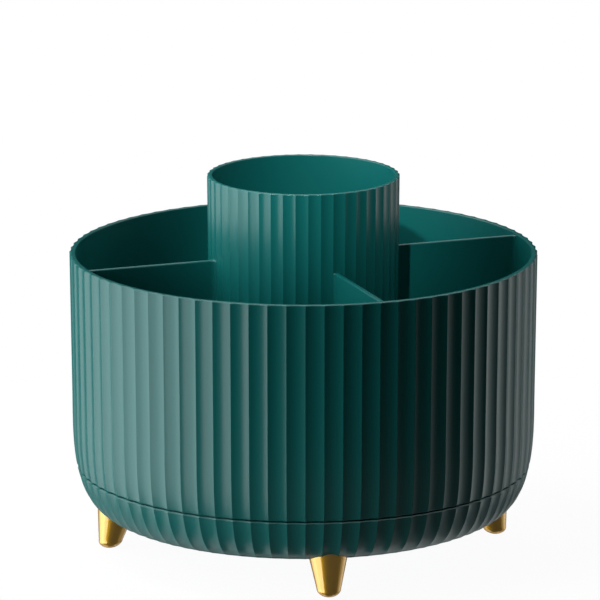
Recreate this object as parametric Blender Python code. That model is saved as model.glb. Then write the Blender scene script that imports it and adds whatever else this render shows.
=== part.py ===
"""Rotating makeup organizer.

A fluted drum with a centre cup and four dividers turns on a fluted bowl. A ring of steel balls between
two pressed races carries the drum, and a screw with a washer holds it down on its pivot. The bowl stands
on four splayed feet. The origin is on the axis, on the table. The front of the object faces -Y.
"""

from math import acos, asin, atan2, cos, hypot, pi, radians, sin, tau

import bmesh
import bpy
from mathutils import Matrix, Vector

MM = 0.001

# Running gaps and cuts
GAP = 0.3 * MM                    # between pieces that touch on the real object
OVERRUN = 2.0 * MM                # how far a cutter runs past the face that it opens
WELD = 0.001 * MM                 # points closer than this are one point

# Drum wall, from its skirt's lower edge up to the rim
RIM_RADIUS = 92.0 * MM            # over the ridges between the flutes
DRUM_HEIGHT = 85.2 * MM
DRUM_DRAFT = 0.57 * MM            # lost in radius where the straight wall starts
STRAIGHT_START = 28.1 * MM        # height of the straight wall's start above the split
RIM_CHAMFER = 0.5 * MM
WALL = 2.4 * MM
DRUM_FLUTES = 80
DRUM_FLUTE_DEPTH = 0.57 * MM
DRUM_FLUTE_START = radians(0.51)
DRUM_FLOOR = 2.5 * MM

# Bowl, a superellipse that goes on from the drum's wall
BOWL_SWEEP = 23.7 * MM            # from the rim's radius in to the flat underside
BOWL_ROUNDNESS = 3.04             # exponent of the superellipse
BOWL_WALL = 2.4 * MM
BOWL_FLOOR = 2.4 * MM
BOWL_RINGS = 5
FLUTE_FADE_START = radians(35)    # slope under the bowl from which its flutes run out
FLUTE_FADE_END = radians(85)
SPLIT_GAP = 0.6 * MM              # the dark line between the drum and the bowl

# Lip of the bowl, which reaches up inside the drum's skirt
SKIRT_DEPTH = 1.5 * MM
SKIRT_WALL = 1.3 * MM
LIP_GAP = 0.4 * MM
LIP_WALL = 1.4 * MM
LIP_HEADROOM = 0.7 * MM

# Centre cup
CUP_RADIUS = 37.8 * MM
CUP_RISE = 30.6 * MM              # above the drum's rim
CUP_DRAFT = 1.0 * MM
CUP_WALL = 2.0 * MM
CUP_FLOOR = 2.2 * MM
CUP_CHAMFER = 0.4 * MM
CUP_FLUTES = 48
CUP_FLUTE_DEPTH = 0.47 * MM
CUP_FLUTE_START = radians(2.9)
CUP_RING_HEIGHT = 2.2 * MM        # ring on the drum's floor that the cup drops over
CUP_RING_WALL = 1.8 * MM
CUP_SKIRT_WALL = 2.4 * MM

# Dividers
DIVIDER_COUNT = 4
DIVIDER_ANGLE = radians(20.2)
DIVIDER_THICKNESS = 1.9 * MM
DIVIDER_DROP = 0.8 * MM           # below the rim
WALL_BITE = 0.4 * MM              # how far a divider sits in the groove of each neighbour
CUP_BITE = 0.8 * MM
FLOOR_BITE = 0.4 * MM

# Feet
FOOT_COUNT = 4
FOOT_ANGLE = radians(7.3)
FOOT_HEIGHT = 13.9 * MM           # clear height under the bowl
FOOT_INSET = 14.4 * MM            # from the rim's radius in to the middle of the foot's tip
FOOT_SPLAY_SHARE = 0.203          # of the height that the foot leans outward
FOOT_TAPER_SHARE = 0.225          # of the height that its radius grows
FOOT_TIP_RADIUS = 4.75 * MM
FOOT_DOME = 2.9 * MM
FOOT_PAD_RADIUS = 1.9 * MM
FOOT_DOME_RINGS = 2
FOOT_SCREW_DEPTH = 8.0 * MM       # of the hole in the foot
FOOT_BOSS_WALL = 2.2 * MM
FOOT_BOSS_HEIGHT = 4.2 * MM       # above the bowl's floor

# Ball bearing
BALL_RADIUS = 3.0 * MM
BALL_COUNT = 12
BEARING_INSET = 34.0 * MM         # from the rim's radius in to the circle of the balls
RACE_THICKNESS = 2.4 * MM
GROOVE_DEPTH = 1.1 * MM
RACE_PLAIN_SIDE = 6.5 * MM        # from the ball circle to the race's edge without screws
RACE_SCREW_SIDE = 13.0 * MM       # to the edge that has the screws
RACE_SCREW_OFFSET = 9.5 * MM      # to the circle of the screws
RACE_SCREWS = 4
RACE_SCREW_ANGLE = radians(45)
PLAIN_RIB = 3.0 * MM              # widths of the two ribs that each race sits on
SCREW_RIB = 6.5 * MM
LOWER_SEAT_HEIGHT = 5.2 * MM      # of those ribs, above the bowl's floor
UPPER_SEAT_HEIGHT = 3.4 * MM      # and below the drum's floor
CAGE_HALF_WIDTH = 5.0 * MM
CAGE_PLAY = 0.4 * MM              # above and below the cage

# Pivot in the middle
HUB_RADIUS = 6.0 * MM
BUSH_WALL = 2.0 * MM
BUSH_FLANGE = 1.5 * MM
BUSH_FLANGE_OVERHANG = 2.2 * MM
PIVOT_BOSS_WALL = 4.4 * MM
PIVOT_BOSS_HEIGHT = 12.7 * MM     # above the bowl's floor
SHOULDER_THICKNESS = 2.0 * MM     # of the ledge that the bush stands on
RECESS_DEPTH = 5.6 * MM           # under the bowl, for the screw's head and its washer
WASHER_RADIUS = 9.5 * MM
WASHER_THICKNESS = 1.2 * MM
RECESS_CLEARANCE = 1.0 * MM

# Screws: shank radius, head radius, head height and length under the head
RACE_SHANK = 1.2 * MM
RACE_HEAD = 2.6 * MM
RACE_HEAD_HEIGHT = 1.6 * MM
LOWER_RACE_SCREW_LENGTH = 6.8 * MM
UPPER_RACE_SCREW_LENGTH = 6.0 * MM
FOOT_SHANK = 1.5 * MM
FOOT_HEAD = 3.0 * MM
FOOT_HEAD_HEIGHT = 2.0 * MM
PIVOT_SHANK = 2.2 * MM
PIVOT_HEAD = 4.5 * MM
PIVOT_HEAD_HEIGHT = 2.6 * MM
PIVOT_SCREW_LENGTH = 13.0 * MM
HEAD_EDGE_SHARE = 0.55            # of the head's height that its side is upright
HEAD_CROWN_SHARE = 0.70           # of the head's radius that stays flat on top
CROSS_ARM_SHARE = 0.58            # of the head's radius that the cross recess reaches
CROSS_WIDTH_SHARE = 0.20
CROSS_DEPTH_SHARE = 0.60          # of the head's height

# Facets around each round piece
FLUTE_FACETS = 3
WALL_FACETS = 60
CUP_FACETS = 48
RACE_FACETS = 48
CAGE_FACETS = 36
GROOVE_FACETS = 3
SMALL_FACETS = 24
POCKET_FACETS = 12
SCREW_FACETS = 8
BALL_FACETS = 8
BALL_RINGS = 6
DRUM_CURVE_SHARES = (0.5,)        # of the way that the drum's lower wall has left to turn
SHARP_ANGLE = radians(30)

# Heights that follow, from the table up
UNDERSIDE_Z = FOOT_HEIGHT
BOWL_FLOOR_Z = UNDERSIDE_Z + BOWL_FLOOR
LOWER_SEAT_Z = BOWL_FLOOR_Z + LOWER_SEAT_HEIGHT
LOWER_RACE_Z = LOWER_SEAT_Z + GAP
LOWER_RACE_TOP = LOWER_RACE_Z + RACE_THICKNESS
BALL_Z = LOWER_RACE_TOP - GROOVE_DEPTH + GAP + BALL_RADIUS
UPPER_RACE_Z = BALL_Z + BALL_RADIUS + GAP - GROOVE_DEPTH
UPPER_RACE_TOP = UPPER_RACE_Z + RACE_THICKNESS
UPPER_SEAT_Z = UPPER_RACE_TOP + GAP
DRUM_UNDERSIDE_Z = UPPER_SEAT_Z + UPPER_SEAT_HEIGHT
DRUM_FLOOR_Z = DRUM_UNDERSIDE_Z + DRUM_FLOOR
SKIRT_Z = DRUM_UNDERSIDE_Z - SKIRT_DEPTH
SPLIT_Z = SKIRT_Z - SPLIT_GAP
LIP_Z = DRUM_UNDERSIDE_Z - LIP_HEADROOM
STRAIGHT_Z = SPLIT_Z + STRAIGHT_START
RIM_Z = SKIRT_Z + DRUM_HEIGHT
CUP_Z = DRUM_FLOOR_Z + GAP
CUP_TOP_Z = RIM_Z + CUP_RISE
SHOULDER_Z = UNDERSIDE_Z + RECESS_DEPTH
WASHER_Z = SHOULDER_Z - GAP - WASHER_THICKNESS
PIVOT_HEAD_Z = WASHER_Z - GAP
PIVOT_BOSS_Z = BOWL_FLOOR_Z + PIVOT_BOSS_HEIGHT
FOOT_BOSS_Z = BOWL_FLOOR_Z + FOOT_BOSS_HEIGHT
BUSH_Z = SHOULDER_Z + SHOULDER_THICKNESS + GAP
BUSH_FLANGE_Z = PIVOT_BOSS_Z + GAP

# Radii that follow
STRAIGHT_RADIUS = RIM_RADIUS - DRUM_DRAFT
FLAT_RADIUS = RIM_RADIUS - BOWL_SWEEP
FOOT_RADIUS = RIM_RADIUS - FOOT_INSET
BALL_CIRCLE = RIM_RADIUS - BEARING_INSET
LOWER_SCREW_CIRCLE = BALL_CIRCLE - RACE_SCREW_OFFSET
UPPER_SCREW_CIRCLE = BALL_CIRCLE + RACE_SCREW_OFFSET
FOOT_SCREW_CIRCLE = FOOT_RADIUS - FOOT_SPLAY_SHARE * FOOT_HEIGHT
HUB_BORE = HUB_RADIUS + GAP
BUSH_RADIUS = HUB_BORE + BUSH_WALL
BUSH_BORE = BUSH_RADIUS + GAP
PIVOT_BOSS_RADIUS = BUSH_BORE + PIVOT_BOSS_WALL
GROOVE_RADIUS = BALL_RADIUS + GAP
FOOT_BOSS_RADIUS = FOOT_HEAD + FOOT_BOSS_WALL

DARK_GREEN = (0.004, 0.085, 0.073)
GOLD = (0.60, 0.38, 0.07)
STEEL = (0.55, 0.56, 0.57)
ZINC = (0.42, 0.43, 0.44)
NATURAL_PLASTIC = (0.75, 0.74, 0.70)
PLASTIC_ROUGHNESS = 0.3
METAL_ROUGHNESS = 0.35
POLISHED_ROUGHNESS = 0.12


# Outline of the drum and the bowl

def bowl_angle(z):
    """Parameter of the superellipse at height z: zero where the wall is straight, a right angle below."""
    fall_share = (STRAIGHT_Z - z) / (STRAIGHT_Z - UNDERSIDE_Z)
    return asin(fall_share ** (BOWL_ROUNDNESS / 2))


def bowl_point(angle):
    """Radius and height of the bowl's ridges at that parameter, and the way out of the wall there."""
    across = max(cos(angle), 0) ** (2 / BOWL_ROUNDNESS)
    down = sin(angle) ** (2 / BOWL_ROUNDNESS)
    width = STRAIGHT_RADIUS - FLAT_RADIUS
    depth = STRAIGHT_Z - UNDERSIDE_Z
    out = across ** (BOWL_ROUNDNESS - 1) / width
    under = down ** (BOWL_ROUNDNESS - 1) / depth
    size = hypot(out, under)
    return FLAT_RADIUS + width * across, STRAIGHT_Z - depth * down, out / size, -under / size


def wall_radius(z):
    """Radius over the ridges at height z."""
    if z < STRAIGHT_Z:
        return bowl_point(bowl_angle(z))[0]
    height_share = (z - STRAIGHT_Z) / (RIM_Z - STRAIGHT_Z)
    return STRAIGHT_RADIUS + DRUM_DRAFT * height_share


def inner_radius(z):
    """Radius of the drum's smooth inner wall."""
    return wall_radius(z) - WALL


def cup_radius(z):
    """Radius over the cup's ridges at height z."""
    height_share = (z - CUP_Z) / (CUP_TOP_Z - CUP_Z)
    return CUP_RADIUS - CUP_DRAFT * (1 - height_share)


SKIRT_INNER = wall_radius(SKIRT_Z) - DRUM_FLUTE_DEPTH - SKIRT_WALL
LIP_OUTER = SKIRT_INNER - LIP_GAP
LIP_INNER = LIP_OUTER - LIP_WALL
CUP_RECESS_RADIUS = CUP_RADIUS - CUP_DRAFT - CUP_SKIRT_WALL
CUP_RING_RADIUS = CUP_RECESS_RADIUS - GAP
CUP_RECESS_TOP = DRUM_FLOOR_Z + CUP_RING_HEIGHT + GAP


# Meshes

def circle(radius, z, facets, centre=(0, 0)):
    """Loop of points around a circle at height z, anticlockwise."""
    turns = [tau * step / facets for step in range(facets)]
    return [(centre[0] + radius * cos(turn), centre[1] + radius * sin(turn), z) for turn in turns]


def fluted_loop(radius, z, out, up, depth, flutes, start):
    """Loop of points over ridges at that radius, whose hollows are sunk by depth against (out, up)."""
    loop = []
    for step in range(flutes * FLUTE_FACETS):
        across = 2 * (step % FLUTE_FACETS) / FLUTE_FACETS - 1
        sunk = depth * (1 - across * across)
        angle = start + tau * step / (flutes * FLUTE_FACETS)
        reach = radius - sunk * out
        loop.append((reach * cos(angle), reach * sin(angle), z - sunk * up))
    return loop


def loft(loops):
    """Points and faces of a closed solid through equal loops, from the lowest to the highest."""
    count = len(loops[0])
    points = [point for loop in loops for point in loop]
    faces = [list(reversed(range(count)))]
    for low in range(0, len(points) - count, count):
        for step in range(count):
            after = (step + 1) % count
            faces.append([low + step, low + after, low + count + after, low + count + step])
    faces.append([len(points) - count + step for step in range(count)])
    return points, faces


def mesh_of(name, *solids):
    """One mesh of one or more solids, each given by its points and faces."""
    points = []
    faces = []
    for solid_points, solid_faces in solids:
        first = len(points)
        points.extend(solid_points)
        faces.extend([[first + corner for corner in face] for face in solid_faces])
    mesh = bpy.data.meshes.new(name)
    mesh.from_pydata(points, [], faces)
    return mesh


def lathe(name, outline, facets):
    """Turns a closed outline of (radius, height) points about Z. An outline may close on the axis."""
    shape = bmesh.new()
    corners = [shape.verts.new((radius, 0, z)) for radius, z in outline]
    edges = [shape.edges.new(pair) for pair in zip(corners, corners[1:])]
    if outline[0][0] or outline[-1][0]:
        edges.append(shape.edges.new((corners[-1], corners[0])))
    bmesh.ops.spin(shape, geom=corners + edges, axis=(0, 0, 1), cent=(0, 0, 0), angle=tau, steps=facets)
    bmesh.ops.remove_doubles(shape, verts=shape.verts[:], dist=WELD)
    bmesh.ops.recalc_face_normals(shape, faces=shape.faces[:])
    mesh = bpy.data.meshes.new(name)
    shape.to_mesh(mesh)
    shape.free()
    return mesh


def spots(count, radius, start):
    """Places around a circle, as an angle and a point."""
    angles = [start + tau * place / count for place in range(count)]
    return [(angle, (radius * cos(angle), radius * sin(angle))) for angle in angles]


def cylinders(name, places, radius, bottom, top, facets):
    """Equal upright cylinders at several places, in one mesh."""
    solids = [loft([circle(radius, z, facets, spot) for z in (bottom, top)]) for _, spot in places]
    return mesh_of(name, *solids)


def plate(name, outline, thickness):
    """Upright plate with an outline of (x, z) points, centred on the XZ plane."""
    count = len(outline)
    points = [(x, side * thickness / 2, z) for side in (-1, 1) for x, z in outline]
    faces = [list(range(count)), list(reversed(range(count, 2 * count)))]
    for corner in range(count):
        after = (corner + 1) % count
        faces.append([corner, corner + count, after + count, after])
    return mesh_of(name, (points, faces))


# Objects

def add(name, mesh, parent=None, location=(0, 0, 0), turn=(0, 0, 0)):
    obj = bpy.data.objects.new(name, mesh)
    bpy.context.scene.collection.objects.link(obj)
    obj.parent = parent
    obj.location = location
    obj.rotation_euler = turn
    return obj


def finish(obj, colour, roughness, metallic):
    """Smooth shading and a material of its own."""
    material = bpy.data.materials.new(obj.name + "_finish")
    material.use_nodes = True
    shader = material.node_tree.nodes["Principled BSDF"]
    shader.inputs["Base Color"].default_value = (*colour, 1)
    shader.inputs["Roughness"].default_value = roughness
    shader.inputs["Metallic"].default_value = metallic
    obj.data.materials.clear()
    obj.data.materials.append(material)
    obj.data.shade_smooth()
    obj.data.set_sharp_from_angle(angle=SHARP_ANGLE)
    return obj


def cutter(mesh, turn=0):
    """Shape that only cuts or joins another and isn't part of the object."""
    obj = add(mesh.name, mesh, turn=(0, 0, turn))
    obj.hide_render = True
    obj.display_type = "WIRE"
    return obj


def boolean(obj, operation, *others):
    for other in others:
        modifier = obj.modifiers.new(other.name, "BOOLEAN")
        modifier.operation = operation
        modifier.solver = "EXACT"
        modifier.object = other


def applied(obj):
    """Mesh of an object with its modifiers carried out. The object itself is removed."""
    graph = bpy.context.evaluated_depsgraph_get()
    mesh = bpy.data.meshes.new_from_object(obj.evaluated_get(graph))
    bpy.data.objects.remove(obj)
    return mesh


# Bowl that stands on the feet

def level_loop(z, shrink=0):
    """Loop of the fluted wall with all its points at height z."""
    radius = wall_radius(z) - shrink
    return fluted_loop(radius, z, 1, 0, DRUM_FLUTE_DEPTH, DRUM_FLUTES, DRUM_FLUTE_START)


def bowl_angles():
    """Parameters of the bowl's rings, from its flat underside up to the split."""
    last = bowl_angle(SPLIT_Z)
    return [pi / 2 + (last - pi / 2) * ring / BOWL_RINGS for ring in range(BOWL_RINGS + 1)]


def flute_share(out, up):
    """How much of a flute's depth is left where the wall faces (out, up)."""
    left_share = (FLUTE_FADE_END - atan2(-up, out)) / (FLUTE_FADE_END - FLUTE_FADE_START)
    return sin(pi / 2 * min(max(left_share, 0), 1)) ** 2


def bowl_loops(grown):
    """Loops of the bowl's fluted outside, moved out by grown."""
    loops = []
    for angle in bowl_angles()[:-1]:
        radius, z, out, up = bowl_point(angle)
        depth = DRUM_FLUTE_DEPTH * flute_share(out, up)
        radius += grown * out
        z += grown * up
        loops.append(fluted_loop(radius, z, out, up, depth, DRUM_FLUTES, DRUM_FLUTE_START))
    loops.append(level_loop(SPLIT_Z, -grown))
    return loops


def rib_outline(inner, width, bottom, top):
    return [(inner, bottom), (inner, top), (inner + width, top), (inner + width, bottom)]


def bowl_hollow(foot_bosses):
    """The space inside the bowl, around its pivot boss, its race ribs and its foot bosses."""
    outline = [(0, LIP_Z + OVERRUN), (0, PIVOT_BOSS_Z), (PIVOT_BOSS_RADIUS, PIVOT_BOSS_Z)]
    outline.append((PIVOT_BOSS_RADIUS, BOWL_FLOOR_Z))
    screw_rib = BALL_CIRCLE - RACE_SCREW_SIDE
    plain_rib = BALL_CIRCLE + RACE_PLAIN_SIDE - PLAIN_RIB
    outline += rib_outline(screw_rib, SCREW_RIB, BOWL_FLOOR_Z, LOWER_SEAT_Z)
    outline += rib_outline(plain_rib, PLAIN_RIB, BOWL_FLOOR_Z, LOWER_SEAT_Z)
    for angle in bowl_angles():
        radius, z, out, up = bowl_point(angle)
        inside = min(radius - BOWL_WALL * out, LIP_INNER)
        outline.append((inside, max(z - BOWL_WALL * up, BOWL_FLOOR_Z)))
    outline.append((LIP_INNER, LIP_Z + OVERRUN))
    hollow = cutter(lathe("bowl_hollow", outline, RACE_FACETS))
    boolean(hollow, "DIFFERENCE", foot_bosses)
    return hollow


def pivot_bore():
    """Screw recess, hub bore and bush seat, one above the other."""
    recess = WASHER_RADIUS + RECESS_CLEARANCE
    outline = [(0, UNDERSIDE_Z - OVERRUN), (recess, UNDERSIDE_Z - OVERRUN), (recess, SHOULDER_Z)]
    outline += [(HUB_BORE, SHOULDER_Z), (HUB_BORE, SHOULDER_Z + SHOULDER_THICKNESS)]
    outline += [(BUSH_BORE, SHOULDER_Z + SHOULDER_THICKNESS), (BUSH_BORE, PIVOT_BOSS_Z + OVERRUN)]
    outline.append((0, PIVOT_BOSS_Z + OVERRUN))
    return cutter(lathe("pivot_bore", outline, SMALL_FACETS))


def make_base_bowl(foot_screw_bores, lower_screw_bores):
    bowl = add("base_bowl", mesh_of("base_bowl", loft(bowl_loops(0))))
    lip = [(0, SPLIT_Z - OVERRUN), (LIP_OUTER, SPLIT_Z - OVERRUN), (LIP_OUTER, LIP_Z), (0, LIP_Z)]
    boolean(bowl, "UNION", cutter(lathe("bowl_lip", lip, WALL_FACETS)))
    places = spots(FOOT_COUNT, FOOT_SCREW_CIRCLE, FOOT_ANGLE)
    floor = UNDERSIDE_Z - OVERRUN
    bosses = cutter(cylinders("foot_bosses", places, FOOT_BOSS_RADIUS, floor, FOOT_BOSS_Z, SMALL_FACETS))
    boolean(bowl, "DIFFERENCE", bowl_hollow(bosses), pivot_bore(), foot_screw_bores, lower_screw_bores)
    finish(bowl, DARK_GREEN, PLASTIC_ROUGHNESS, 0)


def foot_loops():
    """Circles of the foot along +X, from its pad up its dome and cone into the bowl."""
    dome = FOOT_DOME / cos(asin(FOOT_PAD_RADIUS / FOOT_TIP_RADIUS))
    first = asin(FOOT_PAD_RADIUS / FOOT_TIP_RADIUS)
    rings = []
    for step in range(FOOT_DOME_RINGS + 1):
        angle = first + (pi / 2 - first) * step / FOOT_DOME_RINGS
        rings.append((FOOT_TIP_RADIUS * sin(angle), FOOT_DOME - dome * cos(angle)))
    rings[0] = (FOOT_PAD_RADIUS, 0)
    rings.append((FOOT_TIP_RADIUS + FOOT_TAPER_SHARE * (FOOT_BOSS_Z - FOOT_DOME), FOOT_BOSS_Z))
    return [circle(radius, z, SMALL_FACETS, (FOOT_RADIUS - FOOT_SPLAY_SHARE * z, 0)) for radius, z in rings]


def make_feet(foot_screw_bores):
    """Four feet, each fitted to the fluted underside of the bowl with the usual gap."""
    fitted = cutter(mesh_of("bowl_fitted", loft(bowl_loops(GAP))))
    mesh = mesh_of("foot", loft(foot_loops()))
    for number, (angle, _) in enumerate(spots(FOOT_COUNT, FOOT_RADIUS, FOOT_ANGLE), start=1):
        foot = add(f"foot_{number}", mesh, turn=(0, 0, angle))
        boolean(foot, "DIFFERENCE", fitted, foot_screw_bores)
        finish(foot, GOLD, POLISHED_ROUGHNESS, 1)


# Screws

def screw_mesh(name, shank, head, height, length):
    """Pan head screw with a cross recess. Its head stands on the XY plane and its shank points down."""
    outline = [(0, -length), (shank, shank - length), (shank, 0), (head, 0)]
    outline.append((head, height * HEAD_EDGE_SHARE))
    outline += [(head * HEAD_CROWN_SHARE, height), (0, height)]
    screw = add(name, lathe(name, outline, SCREW_FACETS))
    arm = head * CROSS_ARM_SHARE
    half = head * CROSS_WIDTH_SHARE / 2
    quarter = [(arm, -half), (arm, half), (half, half)]
    cross = []
    for turn in range(4):
        side = Matrix.Rotation(turn * pi / 2, 2)
        cross += [tuple(side @ Vector(corner)) for corner in quarter]
    levels = (height - height * CROSS_DEPTH_SHARE, height + OVERRUN)
    recess = cutter(mesh_of(name + "_cross", loft([[(x, y, z) for x, y in cross] for z in levels])))
    boolean(screw, "DIFFERENCE", recess)
    mesh = applied(screw)
    bpy.data.objects.remove(recess)
    return mesh


def place_screws(name, mesh, places, z, flip, parent):
    """Equal screws. A flipped one has its head below."""
    for number, (angle, (x, y)) in enumerate(places, start=1):
        screw = add(f"{name}_{number}", mesh, parent, (x, y, z), (pi if flip else 0, 0, angle))
        finish(screw, ZINC, METAL_ROUGHNESS, 1)


def make_foot_screws():
    length = FOOT_BOSS_Z - UNDERSIDE_Z + FOOT_SCREW_DEPTH
    mesh = screw_mesh("foot_screw", FOOT_SHANK, FOOT_HEAD, FOOT_HEAD_HEIGHT, length)
    places = spots(FOOT_COUNT, FOOT_SCREW_CIRCLE, FOOT_ANGLE)
    place_screws("foot_screw", mesh, places, FOOT_BOSS_Z + GAP, False, None)


def make_race_screws(drum_axis):
    lower = screw_mesh("lower_screw", RACE_SHANK, RACE_HEAD, RACE_HEAD_HEIGHT, LOWER_RACE_SCREW_LENGTH)
    places = spots(RACE_SCREWS, LOWER_SCREW_CIRCLE, RACE_SCREW_ANGLE)
    place_screws("lower_race_screw", lower, places, LOWER_RACE_TOP + GAP, False, None)
    upper = screw_mesh("upper_screw", RACE_SHANK, RACE_HEAD, RACE_HEAD_HEIGHT, UPPER_RACE_SCREW_LENGTH)
    places = spots(RACE_SCREWS, UPPER_SCREW_CIRCLE, RACE_SCREW_ANGLE)
    place_screws("upper_race_screw", upper, places, UPPER_RACE_Z - GAP, True, drum_axis)


# Ball bearing

def race_outline(inner, outer, back, face):
    """Section of a race with its ball groove sunk into the face."""
    side = 1 if back > face else -1
    edge = acos(abs(face - BALL_Z) / GROOVE_RADIUS)
    outline = [(inner, back), (outer, back), (outer, face)]
    outline.append((BALL_CIRCLE + GROOVE_RADIUS * sin(edge), face))
    facet = 2 * edge / GROOVE_FACETS
    for step in range(GROOVE_FACETS):
        angle = edge - facet * (step + 1 / 2)
        across = GROOVE_RADIUS * sin(angle)
        outline.append((BALL_CIRCLE + across, BALL_Z + side * GROOVE_RADIUS * cos(angle)))
    outline.append((BALL_CIRCLE - GROOVE_RADIUS * sin(edge), face))
    outline.append((inner, face))
    return outline


def make_races(drum_axis, lower_screw_bores, upper_screw_bores):
    inner = BALL_CIRCLE - RACE_SCREW_SIDE
    outer = BALL_CIRCLE + RACE_PLAIN_SIDE
    outline = race_outline(inner, outer, LOWER_RACE_Z, LOWER_RACE_TOP)
    lower = add("lower_race", lathe("lower_race", outline, RACE_FACETS))
    boolean(lower, "DIFFERENCE", lower_screw_bores)
    finish(lower, STEEL, METAL_ROUGHNESS, 1)
    inner = BALL_CIRCLE - RACE_PLAIN_SIDE
    outer = BALL_CIRCLE + RACE_SCREW_SIDE
    outline = race_outline(inner, outer, UPPER_RACE_TOP, UPPER_RACE_Z)
    upper = add("upper_race", lathe("upper_race", outline, RACE_FACETS), drum_axis)
    boolean(upper, "DIFFERENCE", upper_screw_bores)
    finish(upper, STEEL, METAL_ROUGHNESS, 1)


def make_ball_ring(cage_axis):
    """Cage with its balls, which turn together at half the drum's speed."""
    bottom = LOWER_RACE_TOP + CAGE_PLAY
    top = UPPER_RACE_Z - CAGE_PLAY
    outline = rib_outline(BALL_CIRCLE - CAGE_HALF_WIDTH, 2 * CAGE_HALF_WIDTH, bottom, top)
    cage = add("ball_cage", lathe("ball_cage", outline, CAGE_FACETS), cage_axis)
    places = spots(BALL_COUNT, BALL_CIRCLE, 0)
    pocket = BALL_RADIUS + GAP
    pockets = cylinders("ball_pockets", places, pocket, bottom - OVERRUN, top + OVERRUN, POCKET_FACETS)
    boolean(cage, "DIFFERENCE", cutter(pockets))
    finish(cage, NATURAL_PLASTIC, PLASTIC_ROUGHNESS, 0)
    shape = bmesh.new()
    bmesh.ops.create_uvsphere(shape, u_segments=BALL_FACETS, v_segments=BALL_RINGS, radius=BALL_RADIUS)
    mesh = bpy.data.meshes.new("ball")
    shape.to_mesh(mesh)
    shape.free()
    for number, (angle, (x, y)) in enumerate(places, start=1):
        ball = add(f"ball_{number}", mesh, cage_axis, (x, y, BALL_Z), (0, 0, angle))
        finish(ball, STEEL, POLISHED_ROUGHNESS, 1)


# Pivot

def make_pivot(drum_axis):
    flange = BUSH_RADIUS + BUSH_FLANGE_OVERHANG
    flange_top = BUSH_FLANGE_Z + BUSH_FLANGE
    outline = [(HUB_BORE, BUSH_Z), (BUSH_RADIUS, BUSH_Z), (BUSH_RADIUS, BUSH_FLANGE_Z)]
    outline += [(flange, BUSH_FLANGE_Z), (flange, flange_top), (HUB_BORE, flange_top)]
    bush = add("pivot_bush", lathe("pivot_bush", outline, SMALL_FACETS))
    finish(bush, NATURAL_PLASTIC, PLASTIC_ROUGHNESS, 0)
    hole = PIVOT_SHANK + GAP
    outline = rib_outline(hole, WASHER_RADIUS - hole, WASHER_Z, WASHER_Z + WASHER_THICKNESS)
    washer = add("pivot_washer", lathe("pivot_washer", outline, SMALL_FACETS), drum_axis)
    finish(washer, STEEL, METAL_ROUGHNESS, 1)
    mesh = screw_mesh("pivot_screw", PIVOT_SHANK, PIVOT_HEAD, PIVOT_HEAD_HEIGHT, PIVOT_SCREW_LENGTH)
    screw = add("pivot_screw", mesh, drum_axis, (0, 0, PIVOT_HEAD_Z), (pi, 0, 0))
    finish(screw, ZINC, METAL_ROUGHNESS, 1)


# Drum

def drum_loops():
    """Loops of the drum's fluted outside, from its skirt up to its rim."""
    loops = [level_loop(SKIRT_Z)]
    for share in DRUM_CURVE_SHARES:
        radius, z, out, up = bowl_point(bowl_angle(SKIRT_Z) * share)
        loops.append(fluted_loop(radius, z, out, up, DRUM_FLUTE_DEPTH, DRUM_FLUTES, DRUM_FLUTE_START))
    loops.append(level_loop(STRAIGHT_Z))
    loops.append(level_loop(RIM_Z - RIM_CHAMFER))
    loops.append(level_loop(RIM_Z, RIM_CHAMFER))
    return loops


def inner_wall_heights():
    """Heights at which the drum's inner wall bends, between its floor and its rim."""
    return [bowl_point(bowl_angle(SKIRT_Z) * share)[1] for share in DRUM_CURVE_SHARES] + [STRAIGHT_Z]


def drum_hollow():
    outline = [(0, DRUM_FLOOR_Z), (inner_radius(DRUM_FLOOR_Z), DRUM_FLOOR_Z)]
    outline += [(inner_radius(z), z) for z in inner_wall_heights()]
    outline += [(inner_radius(RIM_Z), RIM_Z + OVERRUN), (0, RIM_Z + OVERRUN)]
    return cutter(lathe("drum_hollow", outline, WALL_FACETS))


def drum_undercut():
    """Space under the drum's floor, inside its skirt."""
    below = SKIRT_Z - OVERRUN
    outline = [(0, below), (SKIRT_INNER, below), (SKIRT_INNER, DRUM_UNDERSIDE_Z), (0, DRUM_UNDERSIDE_Z)]
    return cutter(lathe("drum_undercut", outline, WALL_FACETS))


def drum_ribs():
    """Hub and race ribs under the floor, and the ring that the cup drops over, all rooted in the floor."""
    root = DRUM_UNDERSIDE_Z + DRUM_FLOOR / 2
    hub = [(0, SHOULDER_Z), (HUB_RADIUS, SHOULDER_Z), (HUB_RADIUS, root), (0, root)]
    plain = rib_outline(BALL_CIRCLE - RACE_PLAIN_SIDE, PLAIN_RIB, UPPER_SEAT_Z, root)
    screwed = rib_outline(BALL_CIRCLE + RACE_SCREW_SIDE - SCREW_RIB, SCREW_RIB, UPPER_SEAT_Z, root)
    ring = rib_outline(CUP_RING_RADIUS - CUP_RING_WALL, CUP_RING_WALL, root, DRUM_FLOOR_Z + CUP_RING_HEIGHT)
    return [
        cutter(lathe("drum_hub", hub, SMALL_FACETS)),
        cutter(lathe("plain_race_rib", plain, RACE_FACETS)),
        cutter(lathe("screwed_race_rib", screwed, RACE_FACETS)),
        cutter(lathe("cup_ring", ring, CUP_FACETS)),
    ]


def hub_screw_bore():
    bottom = SHOULDER_Z - OVERRUN
    top = PIVOT_HEAD_Z + PIVOT_SCREW_LENGTH + GAP
    radius = PIVOT_SHANK + GAP
    return cutter(cylinders("hub_screw_bore", [(0, (0, 0))], radius, bottom, top, SCREW_FACETS))


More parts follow.
